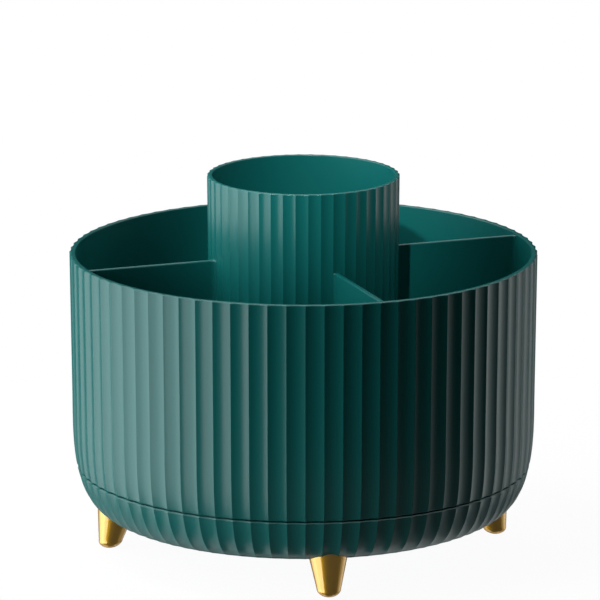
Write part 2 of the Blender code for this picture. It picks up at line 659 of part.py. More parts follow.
def make_drum_shell(drum_axis, upper_screw_bores, grooves):
    drum = add("drum_shell", mesh_of("drum_shell", loft(drum_loops())), drum_axis)
    boolean(drum, "DIFFERENCE", drum_hollow(), drum_undercut())
    boolean(drum, "UNION", *drum_ribs())
    boolean(drum, "DIFFERENCE", upper_screw_bores, hub_screw_bore(), *grooves)
    finish(drum, DARK_GREEN, PLASTIC_ROUGHNESS, 0)


# Dividers and cup

def divider_outline(grown):
    """Section of a divider, which follows the cup and the drum's wall, moved out by grown."""
    bottom = DRUM_FLOOR_Z - FLOOR_BITE - grown
    top = RIM_Z - DIVIDER_DROP + grown
    outline = [(cup_radius(z) - CUP_BITE - grown, z) for z in (top, bottom)]
    for z in [bottom] + inner_wall_heights() + [top]:
        outline.append((inner_radius(z) + WALL_BITE + grown, z))
    return outline


def divider_places():
    return spots(DIVIDER_COUNT, BALL_CIRCLE, DIVIDER_ANGLE)


def divider_grooves():
    """Cutters a little larger than the dividers, for their grooves in the cup, the wall and the floor."""
    mesh = plate("divider_groove", divider_outline(GAP), DIVIDER_THICKNESS + 2 * GAP)
    return [cutter(mesh, angle) for angle, _ in divider_places()]


def make_dividers(drum_axis):
    mesh = plate("divider", divider_outline(0), DIVIDER_THICKNESS)
    for number, (angle, _) in enumerate(divider_places(), start=1):
        divider = add(f"divider_{number}", mesh, drum_axis, turn=(0, 0, angle))
        finish(divider, DARK_GREEN, PLASTIC_ROUGHNESS, 0)


def cup_loop(z, shrink=0):
    radius = cup_radius(z) - shrink
    return fluted_loop(radius, z, 1, 0, CUP_FLUTE_DEPTH, CUP_FLUTES, CUP_FLUTE_START)


def make_center_cup(drum_axis, grooves):
    loops = [cup_loop(CUP_Z), cup_loop(CUP_TOP_Z - CUP_CHAMFER), cup_loop(CUP_TOP_Z, CUP_CHAMFER)]
    cup = add("center_cup", mesh_of("center_cup", loft(loops)), drum_axis)
    floor = CUP_RECESS_TOP + CUP_FLOOR
    above = CUP_TOP_Z + OVERRUN
    inside = [(0, floor), (cup_radius(floor) - CUP_WALL, floor), (cup_radius(above) - CUP_WALL, above)]
    below = CUP_Z - OVERRUN
    recess = [(0, below), (CUP_RECESS_RADIUS, below), (CUP_RECESS_RADIUS, CUP_RECESS_TOP)]
    hollow = cutter(lathe("cup_hollow", inside + [(0, above)], CUP_FACETS))
    recess = cutter(lathe("cup_recess", recess + [(0, CUP_RECESS_TOP)], CUP_FACETS))
    boolean(cup, "DIFFERENCE", hollow, recess, *grooves)
    finish(cup, DARK_GREEN, PLASTIC_ROUGHNESS, 0)


# The whole object

def race_screw_bores(name, circle_radius, bottom, top):
    places = spots(RACE_SCREWS, circle_radius, RACE_SCREW_ANGLE)
    return cutter(cylinders(name, places, RACE_SHANK + GAP, bottom, top, SCREW_FACETS))


def foot_screw_bores():
    places = spots(FOOT_COUNT, FOOT_SCREW_CIRCLE, FOOT_ANGLE)
    bottom = UNDERSIDE_Z - FOOT_SCREW_DEPTH
    top = FOOT_BOSS_Z + OVERRUN
    return cutter(cylinders("foot_screw_bores", places, FOOT_SHANK + GAP, bottom, top, SCREW_FACETS))


def build():
    for obj in list(bpy.data.objects):
        bpy.data.objects.remove(obj)
    drum_axis = add("drum_axis", None)
    cage_axis = add("cage_axis", None)
    foot_bores = foot_screw_bores()
    lower_end = LOWER_RACE_TOP - LOWER_RACE_SCREW_LENGTH
    lower_open = LOWER_RACE_TOP + OVERRUN
    lower_bores = race_screw_bores("lower_screw_bores", LOWER_SCREW_CIRCLE, lower_end, lower_open)
    upper_end = UPPER_RACE_Z + UPPER_RACE_SCREW_LENGTH
    upper_open = UPPER_RACE_Z - OVERRUN
    upper_bores = race_screw_bores("upper_screw_bores", UPPER_SCREW_CIRCLE, upper_open, upper_end)
    make_base_bowl(foot_bores, lower_bores)
    make_feet(foot_bores)
    make_foot_screws()
    make_race_screws(drum_axis)
    make_races(drum_axis, lower_bores, upper_bores)
    make_ball_ring(cage_axis)
    make_pivot(drum_axis)
    grooves = divider_grooves()
    make_drum_shell(drum_axis, upper_bores, grooves)
    make_dividers(drum_axis)
    make_center_cup(drum_axis, grooves)


build()
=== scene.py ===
# %% [markdown]
# # A rotating makeup organizer
# A fluted drum of dark green plastic turns on a bowl of the same plastic, which stands on four gold feet.
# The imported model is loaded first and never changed: it says where each piece is and what it turns with.
# Everything below makes finer pieces that stand for its nodes, gives them their finishes and lights them.

from math import asin, atan, atan2, cos, hypot, pi, radians, sin, tan, tau

import bmesh
import bpy
from mathutils import Matrix, Vector


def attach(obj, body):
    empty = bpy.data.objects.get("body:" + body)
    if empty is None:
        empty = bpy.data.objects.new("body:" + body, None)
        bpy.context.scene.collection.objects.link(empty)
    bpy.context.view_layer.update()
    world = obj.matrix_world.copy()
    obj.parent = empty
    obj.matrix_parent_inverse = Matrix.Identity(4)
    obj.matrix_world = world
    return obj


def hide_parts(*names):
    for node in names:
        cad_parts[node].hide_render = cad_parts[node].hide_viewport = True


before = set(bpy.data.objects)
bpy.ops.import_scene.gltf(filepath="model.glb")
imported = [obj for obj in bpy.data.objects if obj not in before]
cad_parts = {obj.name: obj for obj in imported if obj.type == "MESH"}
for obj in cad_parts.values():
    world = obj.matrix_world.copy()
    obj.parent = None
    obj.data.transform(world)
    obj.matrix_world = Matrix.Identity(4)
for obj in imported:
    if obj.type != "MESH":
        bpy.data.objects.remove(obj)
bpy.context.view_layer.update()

# %% [markdown]
# ## Sizes
# The sizes are the ones that the model was built from, in millimetres. Blender counts in metres, so one
# constant turns them over. The wall of drum and bowl is one curve: straight above, a superellipse below.
# That curve could be drawn by hand with handles. As a formula it gives the radius at any height, which the
# drum, the bowl, the dividers and the feet all ask for.

# %% Sizes of the drum, the bowl and the cup
MM = 0.001
RIM_RADIUS, RIM_Z = 92.0, 118.4
STRAIGHT_RADIUS, STRAIGHT_Z = 91.43, 60.7
FLAT_RADIUS, UNDERSIDE_Z = 68.3, 13.9
ROUNDNESS = 3.04
SKIRT_Z, SPLIT_Z, LIP_Z = 33.2, 32.6, 34.0
DRUM_UNDERSIDE_Z, DRUM_FLOOR_Z, BOWL_FLOOR_Z = 34.7, 37.2, 16.3
WALL, CUP_WALL = 2.4, 2.0
DRUM_FLUTES, DRUM_FLUTE_DEPTH, DRUM_FLUTE_START = 80, 0.57, radians(0.51)
CUP_FLUTES, CUP_FLUTE_DEPTH, CUP_FLUTE_START = 48, 0.47, radians(2.9)
CUP_RADIUS, CUP_DRAFT, CUP_Z, CUP_TOP_Z = 37.8, 1.0, 37.5, 149.0


def wall_point(angle):
    """Radius, height and outward direction of the curved wall: angle 0 is upright, a quarter turn is flat."""
    across = max(cos(angle), 0) ** (2 / ROUNDNESS)
    down = sin(angle) ** (2 / ROUNDNESS)
    width, depth = STRAIGHT_RADIUS - FLAT_RADIUS, STRAIGHT_Z - UNDERSIDE_Z
    out = Vector((across ** (ROUNDNESS - 1) / width, 0, -(down ** (ROUNDNESS - 1)) / depth)).normalized()
    return FLAT_RADIUS + width * across, STRAIGHT_Z - depth * down, out


def wall_angle(z):
    """The angle at which the curved wall is at this height."""
    return asin(((STRAIGHT_Z - z) / (STRAIGHT_Z - UNDERSIDE_Z)) ** (ROUNDNESS / 2))


def wall_radius(z):
    """Radius of the wall at any height, over the ridges."""
    if z < STRAIGHT_Z:
        return wall_point(wall_angle(z))[0]
    return STRAIGHT_RADIUS + (RIM_RADIUS - STRAIGHT_RADIUS) * (z - STRAIGHT_Z) / (RIM_Z - STRAIGHT_Z)


def cup_radius(z):
    """Radius of the cup, which is a little narrower below."""
    return CUP_RADIUS - CUP_DRAFT * (CUP_TOP_Z - z) / (CUP_TOP_Z - CUP_Z)


print(f"wall at the split: {wall_radius(SPLIT_Z):.2f} mm, at the rim: {wall_radius(RIM_Z):.2f} mm")

# %% [markdown]
# The drum turns on a ring of balls, and its hub stands in a bush in the bowl's boss. Drum, bowl, races and
# washer share the sizes of these seats. They are written once, so a change of a seat reaches both pieces
# that meet there.

# %% Sizes of the bearing and the pivot
BALL_CIRCLE, BALL_Z, BALL_RADIUS, GROOVE_RADIUS = 58, 26.4, 3.0, 3.3
RACE_THICKNESS = 2.4
UPPER_RACE, UPPER_RACE_BACK_Z = (51.5, 71.0), 31.0
LOWER_RACE, LOWER_RACE_BACK_Z = (45.0, 64.5), 21.8
DRUM_RIBS, DRUM_RIB_Z = ((51.5, 54.5), (64.5, 71.0)), 31.3
BOWL_RIBS, BOWL_RIB_Z = ((61.5, 64.5), (45.0, 51.5)), 21.5
HUB_RADIUS, HUB_END_Z = 6.0, 19.5
SCREW_HOLE_RADIUS, SCREW_HOLE_Z = 2.5, 31.0
BUSH_HOLE_RADIUS, BUSH_SEAT_RADIUS, BUSH_SEAT_Z = 6.3, 8.6, 21.5
BOSS_RADIUS, BOSS_Z = 13.0, 29.0
RECESS_RADIUS, RECESS_Z = 10.5, 19.5
print(f"balls of {2 * BALL_RADIUS:.0f} mm run on a circle of {2 * BALL_CIRCLE} mm")

# %% [markdown]
# ## One helper for every node
# Shader trees and geometry trees are built the same way. They could be wired by hand in the editor, but a
# script can be read and run again. This one function adds a node, sets its properties and fills its inputs.
# An input that is given a socket is linked to it, a node gives its first output, and all else is a value.
# A second helper starts a material and hands over its tree and its main shader.

# %% Add a node and start a material
def add_node(tree, kind, settings=None, inputs=None):
    node = tree.nodes.new(kind)
    for name, value in (settings or {}).items():
        setattr(node, name, value)
    for key, value in (inputs or {}).items():
        if isinstance(value, bpy.types.Node):
            value = value.outputs[0]
        if isinstance(value, bpy.types.NodeSocket):
            tree.links.new(value, node.inputs[key])
        else:
            node.inputs[key].default_value = value
    return node


def new_material(name):
    material = bpy.data.materials.new(name)
    material.use_nodes = True
    return material, material.node_tree, material.node_tree.nodes["Principled BSDF"]


print("helpers:", add_node.__name__, "and", new_material.__name__)

# %% [markdown]
# ## Colours
# Hex values are in sRGB, the way a colour picker shows them. Blender calculates with light, so each
# channel is made linear once, here, and nowhere else. The numbers below are those of the sRGB standard.

# %% Turn a hex colour into linear light
LIGHT_GREEN, DEEP_GREEN = "#127572", "#106f6d"


def linear(code):
    channels = [int(code[place:place + 2], 16) / 255 for place in (1, 3, 5)]
    light = [shown / 12.92 if shown <= 0.04045 else ((shown + 0.055) / 1.055) ** 2.4 for shown in channels]
    return (*light, 1)


print("green in linear light:", [round(channel, 3) for channel in linear(LIGHT_GREEN)])

# %% [markdown]
# ## Green plastic
# The drum, cup, dividers and bowl are injection moulded ABS from a mould with a fine satin texture.
# Real ABS has an IOR of about 1.54 and a soft gloss that shows lamps as wide, blurred panels. The grain of
# the mould is about 0.05 mm, too fine for this picture, so it is drawn at 0.5 mm and very shallow. Thick and
# thin places cool differently, which shows as slow drifts of tone about 40 mm long. A flat colour would be
# quicker, but it looks like paper; noise in tone, gloss and bump gives the depth of a moulded face.

# %% Satin ABS
GRAIN, GRAIN_DEPTH, DRIFT = 0.5, 0.005, 40.0
SATIN, GLOSS_SPREAD = 0.28, 0.005


def satin_abs(name):
    material, tree, shader = new_material(name)
    place = add_node(tree, "ShaderNodeTexCoord").outputs["Object"]
    drift = add_node(tree, "ShaderNodeTexNoise", inputs={
        "Vector": place, "Scale": 1 / (DRIFT * MM), "Detail": 2})
    tone = add_node(tree, "ShaderNodeMix", {"data_type": "RGBA"}, {
        "Factor": drift.outputs["Fac"], "A": linear(DEEP_GREEN), "B": linear(LIGHT_GREEN)})
    tree.links.new(tone.outputs["Result"], shader.inputs["Base Color"])
    grain = add_node(tree, "ShaderNodeTexNoise", inputs={
        "Vector": place, "Scale": 1 / (GRAIN * MM), "Detail": 3})
    gloss = add_node(tree, "ShaderNodeMapRange", inputs={
        "Value": grain.outputs["Fac"], "To Min": SATIN - GLOSS_SPREAD, "To Max": SATIN + GLOSS_SPREAD})
    tree.links.new(gloss.outputs["Result"], shader.inputs["Roughness"])
    bump = add_node(tree, "ShaderNodeBump", inputs={
        "Height": grain.outputs["Fac"], "Strength": 0.1, "Distance": GRAIN_DEPTH * MM})
    tree.links.new(bump.outputs["Normal"], shader.inputs["Normal"])
    shader.inputs["IOR"].default_value = 1.54
    return material


drum_green = satin_abs("moulded_abs_dark_green")
print("green plastic:", drum_green.name)

# %% [markdown]
# ## Gold
# The feet are metal plated with a gold colour: a satin, deeply yellow metal under a hard clear coat. The
# metal spreads the light wide, so the shaded side is still ochre. The coat mirrors the light boxes sharply
# and nearly white, which makes the pale panels. One metal shader alone could be either satin or sharp, so
# the coat is used. Its IOR is set above a lacquer's 1.5, because those panels are so pale in the
# photograph. The plating follows small waves of the casting, about 5 mm long.

# %% Coated gold plating
WAVE, WAVE_DEPTH = 5.0, 0.1
SMOOTHEST_GOLD, ROUGHEST_GOLD = 0.34, 0.40


def coated_gold():
    material, tree, shader = new_material("coated_gold_plating")
    place = add_node(tree, "ShaderNodeTexCoord").outputs["Object"]
    waves = add_node(tree, "ShaderNodeTexNoise", inputs={
        "Vector": place, "Scale": 1 / (WAVE * MM), "Detail": 1})
    tone = add_node(tree, "ShaderNodeMix", {"data_type": "RGBA"}, {
        "Factor": waves.outputs["Fac"], "A": linear("#eeb310"), "B": linear("#f6be18")})
    tree.links.new(tone.outputs["Result"], shader.inputs["Base Color"])
    haze = add_node(tree, "ShaderNodeMapRange", inputs={
        "Value": waves.outputs["Fac"], "To Min": SMOOTHEST_GOLD, "To Max": ROUGHEST_GOLD})
    tree.links.new(haze.outputs["Result"], shader.inputs["Roughness"])
    bump = add_node(tree, "ShaderNodeBump", inputs={
        "Height": waves.outputs["Fac"], "Strength": 0.15, "Distance": WAVE_DEPTH * MM})
    tree.links.new(bump.outputs["Normal"], shader.inputs["Normal"])
    shader.inputs["Metallic"].default_value = 1.0
    shader.inputs["Coat Weight"].default_value = 1.0
    shader.inputs["Coat IOR"].default_value = 2.2
    shader.inputs["Coat Roughness"].default_value = 0.03
    return material


gold = coated_gold()
print("gold:", gold.name)

# %% [markdown]
# ## Steel
# The races are pressed steel that was turned once, which leaves rings about 0.4 mm apart around the
# axis. Those rings could be modelled, but at that size bump and gloss are enough: a noise that reads only
# the distance from the axis makes them. The same finish does for the screws, whose zinc is duller, and, with
# almost no rings, for the balls, which are ground and polished.

# %% Turned, plated and polished steel
RING_PITCH, CLOUD, UNEVEN = 0.4, 3.0, 0.2


def turned_steel(name, code, roughness, ring_depth):
    material, tree, shader = new_material(name)
    place = add_node(tree, "ShaderNodeTexCoord").outputs["Object"]
    flat = add_node(tree, "ShaderNodeVectorMath", {"operation": "MULTIPLY"}, {0: place, 1: (1, 1, 0)})
    away = add_node(tree, "ShaderNodeVectorMath", {"operation": "LENGTH"}, {0: flat.outputs["Vector"]})
    rings = add_node(tree, "ShaderNodeTexNoise", {"noise_dimensions": "1D"}, {
        "W": away.outputs["Value"], "Scale": 1 / (RING_PITCH * MM), "Detail": 2})
    cloud = add_node(tree, "ShaderNodeTexNoise", inputs={
        "Vector": place, "Scale": 1 / (CLOUD * MM), "Detail": 2})
    tone = add_node(tree, "ShaderNodeMix", {"data_type": "RGBA", "blend_type": "MULTIPLY"}, {
        "Factor": cloud.outputs["Fac"], "A": linear(code), "B": linear("#e4e6e8")})
    tree.links.new(tone.outputs["Result"], shader.inputs["Base Color"])
    haze = add_node(tree, "ShaderNodeMapRange", inputs={
        "Value": rings.outputs["Fac"],
        "To Min": roughness * (1 - UNEVEN), "To Max": roughness * (1 + UNEVEN)})
    tree.links.new(haze.outputs["Result"], shader.inputs["Roughness"])
    bump = add_node(tree, "ShaderNodeBump", inputs={
        "Height": rings.outputs["Fac"], "Strength": 0.4, "Distance": ring_depth * MM})
    tree.links.new(bump.outputs["Normal"], shader.inputs["Normal"])
    shader.inputs["Metallic"].default_value = 1.0
    return material


race_steel = turned_steel("turned_race_steel", "#c4c6c8", roughness=0.30, ring_depth=0.01)
zinc = turned_steel("zinc_plated_steel", "#b4b8bc", roughness=0.38, ring_depth=0.004)
ball_steel = turned_steel("polished_ball_steel", "#d2d3d5", roughness=0.08, ring_depth=0.001)
print("metals:", race_steel.name, zinc.name, ball_steel.name)

# %% [markdown]
# ## Acetal
# The cage and the bush are moulded from natural acetal, a milky plastic that lets a little light in. A
# plain white would look like paint, so a little subsurface scattering lets the light go under the skin, and
# a faint cloud about 6 mm wide stands for the uneven milkiness of thick places.

# %% Natural acetal
MILK_CLOUD = 6.0
LIGHT_GOES_IN = (2.0 * MM, 2.0 * MM, 1.8 * MM)


def natural_acetal():
    material, tree, shader = new_material("natural_acetal")
    place = add_node(tree, "ShaderNodeTexCoord").outputs["Object"]
    cloud = add_node(tree, "ShaderNodeTexNoise", inputs={
        "Vector": place, "Scale": 1 / (MILK_CLOUD * MM), "Detail": 3})
    tone = add_node(tree, "ShaderNodeMix", {"data_type": "RGBA"}, {
        "Factor": cloud.outputs["Fac"], "A": linear("#dedcd4"), "B": linear("#e6e4dd")})
    tree.links.new(tone.outputs["Result"], shader.inputs["Base Color"])
    shader.inputs["Roughness"].default_value = 0.42
    shader.inputs["IOR"].default_value = 1.48
    shader.inputs["Subsurface Weight"].default_value = 0.2
    shader.inputs["Subsurface Radius"].default_value = LIGHT_GOES_IN
    return material


acetal = natural_acetal()
print("plastic:", acetal.name)

# %% [markdown]
# ## Geometry trees
# Geometry Nodes make what follows a rule, so each rule is written once as a tree with named inputs. Every
# tree here starts with the mesh it is given and ends the same way, in real faces and a finish, because the
# exported model can't hold instances.

# %% Start and end a geometry tree
def start_tree(name, sockets):
    tree = bpy.data.node_groups.new(name, "GeometryNodeTree")
    tree.interface.new_socket("Geometry", in_out="INPUT", socket_type="NodeSocketGeometry")
    for label, kind in sockets.items():
        tree.interface.new_socket(label, in_out="INPUT", socket_type=kind)
    tree.interface.new_socket("Geometry", in_out="OUTPUT", socket_type="NodeSocketGeometry")
    return tree, add_node(tree, "NodeGroupInput").outputs


def end_tree(tree, geometry, material):
    real = add_node(tree, "GeometryNodeRealizeInstances", inputs={"Geometry": geometry})
    dressed = add_node(tree, "GeometryNodeSetMaterial", inputs={"Geometry": real, "Material": material})
    add_node(tree, "NodeGroupOutput", inputs={"Geometry": dressed})
    print(f"{tree.name}: {len(tree.nodes)} nodes")


print("a tree ends in Realize Instances and Set Material")

# %% [markdown]
# ## A tree that turns and flutes
# Drum, bowl, cup and races are all one outline turned about the upright axis. The Screw modifier could turn
# it, but it can't press flutes. So the tree lays a grid around the axis: one row for each point of the
# outline, one column for each step around. A closed outline gets one row more, which meets the first.
# Each grid point works out its own row and column from its index. Half a step is added before rounding
# down, so that a tiny error can't drop a point into the column before.

# %% Count rows and columns of the turned grid
turned, given = start_tree("Turned and fluted", {
    "Flutes": "NodeSocketInt", "Facets": "NodeSocketInt", "Depth": "NodeSocketFloat",
    "Start": "NodeSocketFloat", "Closed": "NodeSocketInt", "Material": "NodeSocketMaterial"})
MATH = "ShaderNodeMath"
HALF = 0.5

outline_size = add_node(turned, "GeometryNodeAttributeDomainSize", inputs={"Geometry": given["Geometry"]})
points = outline_size.outputs["Point Count"]
rows = add_node(turned, MATH, {"operation": "ADD"}, {0: points, 1: given["Closed"]})
steps_around = add_node(turned, MATH, {"operation": "MULTIPLY"}, {0: given["Flutes"], 1: given["Facets"]})
columns = add_node(turned, MATH, {"operation": "ADD"}, {0: steps_around, 1: 1})
grid = add_node(turned, "GeometryNodeMeshGrid", inputs={"Vertices X": columns, "Vertices Y": rows})
index = add_node(turned, "GeometryNodeInputIndex")
index_and_half = add_node(turned, MATH, {"operation": "ADD"}, {0: index, 1: HALF})
columns_passed = add_node(turned, MATH, {"operation": "DIVIDE"}, {0: index_and_half, 1: rows})
column = add_node(turned, MATH, {"operation": "FLOOR"}, {0: columns_passed})
points_passed = add_node(turned, MATH, {"operation": "MULTIPLY"}, {0: column, 1: rows})
row = add_node(turned, MATH, {"operation": "SUBTRACT"}, {0: index, 1: points_passed})
point = add_node(turned, MATH, {"operation": "MODULO"}, {0: row, 1: points})
print("rows and columns are counted from the outline and the flutes")

# %% [markdown]
# A flute is a shallow hollow between two crisp ridges. Its depth follows 1 - t*t, where t runs from -1 at
# one ridge to 1 at the next. The columns stand closer together near the ridges, as sin() does at its ends,
# so the ridges stay crisp with few facets.

# %% Find how deep and how far around each column is
column_and_half = add_node(turned, MATH, {"operation": "ADD"}, {0: column, 1: HALF})
flutes_passed = add_node(turned, MATH, {"operation": "DIVIDE"}, {0: column_and_half, 1: given["Facets"]})
flute = add_node(turned, MATH, {"operation": "FLOOR"}, {0: flutes_passed})
facets_passed = add_node(turned, MATH, {"operation": "MULTIPLY"}, {0: flute, 1: given["Facets"]})
facet = add_node(turned, MATH, {"operation": "SUBTRACT"}, {0: column, 1: facets_passed})
twice_facet = add_node(turned, MATH, {"operation": "MULTIPLY"}, {0: facet, 1: 2})
up_to_two = add_node(turned, MATH, {"operation": "DIVIDE"}, {0: twice_facet, 1: given["Facets"]})
part_way = add_node(turned, MATH, {"operation": "SUBTRACT"}, {0: up_to_two, 1: 1})
quarter_turns = add_node(turned, MATH, {"operation": "MULTIPLY"}, {0: part_way, 1: pi / 2})
across = add_node(turned, MATH, {"operation": "SINE"}, {0: quarter_turns})
squared = add_node(turned, MATH, {"operation": "MULTIPLY"}, {0: across, 1: across})
hollow = add_node(turned, MATH, {"operation": "SUBTRACT"}, {0: 1, 1: squared})
sunk = add_node(turned, MATH, {"operation": "MULTIPLY"}, {0: given["Depth"], 1: hollow})
from_ridge = add_node(turned, MATH, {"operation": "ADD"}, {0: across, 1: 1})
share_of_flute = add_node(turned, MATH, {"operation": "MULTIPLY"}, {0: from_ridge, 1: HALF})
flutes_around = add_node(turned, MATH, {"operation": "ADD"}, {0: flute, 1: share_of_flute})
turn = add_node(turned, MATH, {"operation": "DIVIDE"}, {0: flutes_around, 1: given["Flutes"]})
turn_angle = add_node(turned, MATH, {"operation": "MULTIPLY"}, {0: turn, 1: tau})
angle = add_node(turned, MATH, {"operation": "ADD"}, {0: given["Start"], 1: turn_angle})
print("each column has a depth and an angle")

# %% [markdown]
# Each point of the outline holds, in an attribute called "press", which way and how much it gives way to the
# flutes. A point of the outer wall gives way fully, a point of the smooth inside not at all. The tree reads
# both for each grid point, presses it in, turns it to its angle and merges the seams.

# %% Place each point of the grid
SEAM = 0.001
position = add_node(turned, "GeometryNodeInputPosition")
press = add_node(turned, "GeometryNodeInputNamedAttribute", {"data_type": "FLOAT_VECTOR"}, {"Name": "press"})
read_position = add_node(turned, "GeometryNodeSampleIndex", {"data_type": "FLOAT_VECTOR"}, {
    "Geometry": given["Geometry"], "Value": position, "Index": point})
read_press = add_node(turned, "GeometryNodeSampleIndex", {"data_type": "FLOAT_VECTOR"}, {
    "Geometry": given["Geometry"], "Value": press.outputs["Attribute"], "Index": point})
push = add_node(turned, "ShaderNodeVectorMath", {"operation": "SCALE"}, {
    0: read_press.outputs["Value"], "Scale": sunk})
pressed = add_node(turned, "ShaderNodeVectorMath", {"operation": "SUBTRACT"}, {
    0: read_position.outputs["Value"], 1: push.outputs["Vector"]})
around = add_node(turned, "ShaderNodeVectorRotate", {"rotation_type": "Z_AXIS"}, {
    "Vector": pressed.outputs["Vector"], "Angle": angle})
placed = add_node(turned, "GeometryNodeSetPosition", inputs={
    "Geometry": grid.outputs["Mesh"], "Position": around.outputs["Vector"]})
closed = add_node(turned, "GeometryNodeMergeByDistance", inputs={
    "Geometry": placed.outputs["Geometry"], "Distance": SEAM * MM})
end_tree(turned, closed.outputs["Geometry"], given["Material"])

# %% [markdown]
# ## A tree that repeats around the axis
# Feet, dividers, screws and balls stand in rings. Each could be copied in a loop, but one copy modelled in
# its place on the X axis and a tree that turns copies of it need only a count and a first angle.

# %% Ring of copies
ring, given = start_tree("Ring of copies", {
    "Count": "NodeSocketInt", "Start": "NodeSocketFloat", "Material": "NodeSocketMaterial"})
spots = add_node(ring, "GeometryNodePoints", inputs={"Count": given["Count"]})
number = add_node(ring, "GeometryNodeInputIndex")
share = add_node(ring, MATH, {"operation": "DIVIDE"}, {0: number, 1: given["Count"]})
facing_angle = add_node(ring, MATH, {"operation": "MULTIPLY_ADD"}, {0: share, 1: tau, 2: given["Start"]})
facing = add_node(ring, "ShaderNodeCombineXYZ", inputs={"Z": facing_angle})
copies = add_node(ring, "GeometryNodeInstanceOnPoints", inputs={
    "Points": spots, "Instance": given["Geometry"], "Rotation": facing})
end_tree(ring, copies.outputs["Instances"], given["Material"])

# %% [markdown]
# ## Running a tree and keeping its result
# A modifier's inputs are set by their identifiers before Blender first evaluates the object. The result is
# then copied into a plain mesh and the modifier goes, because only plain meshes ride on the model's bodies.
# Every finished piece then goes the same way: faces outwards, smooth shading with crisp corners, a body
# to ride on, and the model's nodes that it stands for are hidden.

# %% Run a tree and keep a piece
SMOOTH_BELOW = radians(50)
ML = 1e6


def run_tree(tree, name, mesh, **values):
    source = bpy.data.objects.new(name + "_source", mesh)
    bpy.context.scene.collection.objects.link(source)
    modifier = source.modifiers.new(tree.name, "NODES")
    modifier.node_group = tree
    for socket in tree.interface.items_tree:
        if socket.in_out == "INPUT" and socket.name in values:
            modifier[socket.identifier] = values[socket.name]
    graph = bpy.context.evaluated_depsgraph_get()
    result = bpy.data.meshes.new_from_object(source.evaluated_get(graph))
    source.modifiers.clear()
    bpy.data.objects.remove(source)
    return result


def keep(name, mesh, body, slot, *nodes):
    shape = bmesh.new()
    shape.from_mesh(mesh)
    open_edges = sum(not edge.is_manifold for edge in shape.edges)
    if shape.calc_volume(signed=True) < 0:
        bmesh.ops.reverse_faces(shape, faces=shape.faces[:])
        shape.to_mesh(mesh)
    volume = shape.calc_volume()
    shape.free()
    mesh.name = name
    mesh.shade_smooth()
    mesh.set_sharp_from_angle(angle=SMOOTH_BELOW)
    piece = bpy.data.objects.new(name, mesh)
    bpy.context.scene.collection.objects.link(piece)
    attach(piece, body)
    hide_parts(*nodes)
    mesh.calc_loop_triangles()
    print(f"{name}: {len(mesh.loop_triangles)} triangles, {open_edges} open edges, {volume * ML:.2f} ml")


print("trees to run:", turned.name, "and", ring.name)

# %% [markdown]
# ## Outlines with rounded corners
# Moulded plastic has no sharp corners, and a small rounding is what catches the lamps along a rim. A Bevel
# modifier could round them, but not each by its own size, so it is done in the outline. Each corner is
# given as radius, height, rounding and press. Beside each rounding stands a guard point, a little way along
# the straight, which keeps smooth shading from bending the long flat parts.

# %% Make an outline
GUARD = 0.25
ARC_STEPS = 4
LEVEL = Vector((1, 0, 0))
NONE = Vector((0, 0, 0))


def corner(radius, height, rounding=0.0, press=NONE):
    return radius, height, rounding, press


def rounded(corners, closed):
    """Points and presses of an outline whose corners are rounded."""
    made = []
    for here, (radius, height, rounding, press) in enumerate(corners):
        tip = Vector((radius, 0, height))
        before = Vector((corners[here - 1][0], 0, corners[here - 1][1])) - tip
        after_at = corners[(here + 1) % len(corners)]
        after = Vector((after_at[0], 0, after_at[1])) - tip
        at_end = not closed and here in (0, len(corners) - 1)
        if not rounding or at_end:
            made.append((tip, press))
            continue
        half = before.angle(after) / 2
        reach = rounding / tan(half)
        before.normalize()
        after.normalize()
        middle = tip + (before + after).normalized() * rounding / sin(half)
        first, last = tip + before * reach - middle, tip + after * reach - middle
        made.append((tip + before * (reach + GUARD), press))
        made += [(middle + first.slerp(last, part / ARC_STEPS) * rounding, press)
                 for part in range(ARC_STEPS + 1)]
        made.append((tip + after * (reach + GUARD), press))
    return made


def outline_mesh(name, made):
    mesh = bpy.data.meshes.new(name)
    mesh.from_pydata([spot * MM for spot, _ in made], [], [])
    values = mesh.attributes.new("press", "FLOAT_VECTOR", "POINT")
    values.data.foreach_set("vector", [axis for _, press in made for axis in press])
    return mesh


print("a rounded corner has", ARC_STEPS + 3, "points")

# %% [markdown]
# ## Drum
# The drum is one moulding. Its outline starts in the screw hole of the hub, runs out under the floor past
# the two ribs that hold the upper race, turns round the skirt, climbs the fluted wall, and comes back down
# the smooth inside. The rim's outer edge keeps the flutes right up to its flat top, which gives the
# scalloped edge. A ring on the floor inside takes the cup.

# %% Drum outline and piece
FACETS = 10
SKIRT_THICKNESS = 1.3
SKIRT_INNER = wall_radius(SKIRT_Z) - DRUM_FLUTE_DEPTH - SKIRT_THICKNESS
CURVE_STEPS = 10
INSIDE_HEIGHTS = (54.0, 48.5, 44.0, 40.5)
CUP_RING_OUTER, CUP_RING_INNER, CUP_RING_Z = 34.1, 32.3, 39.4

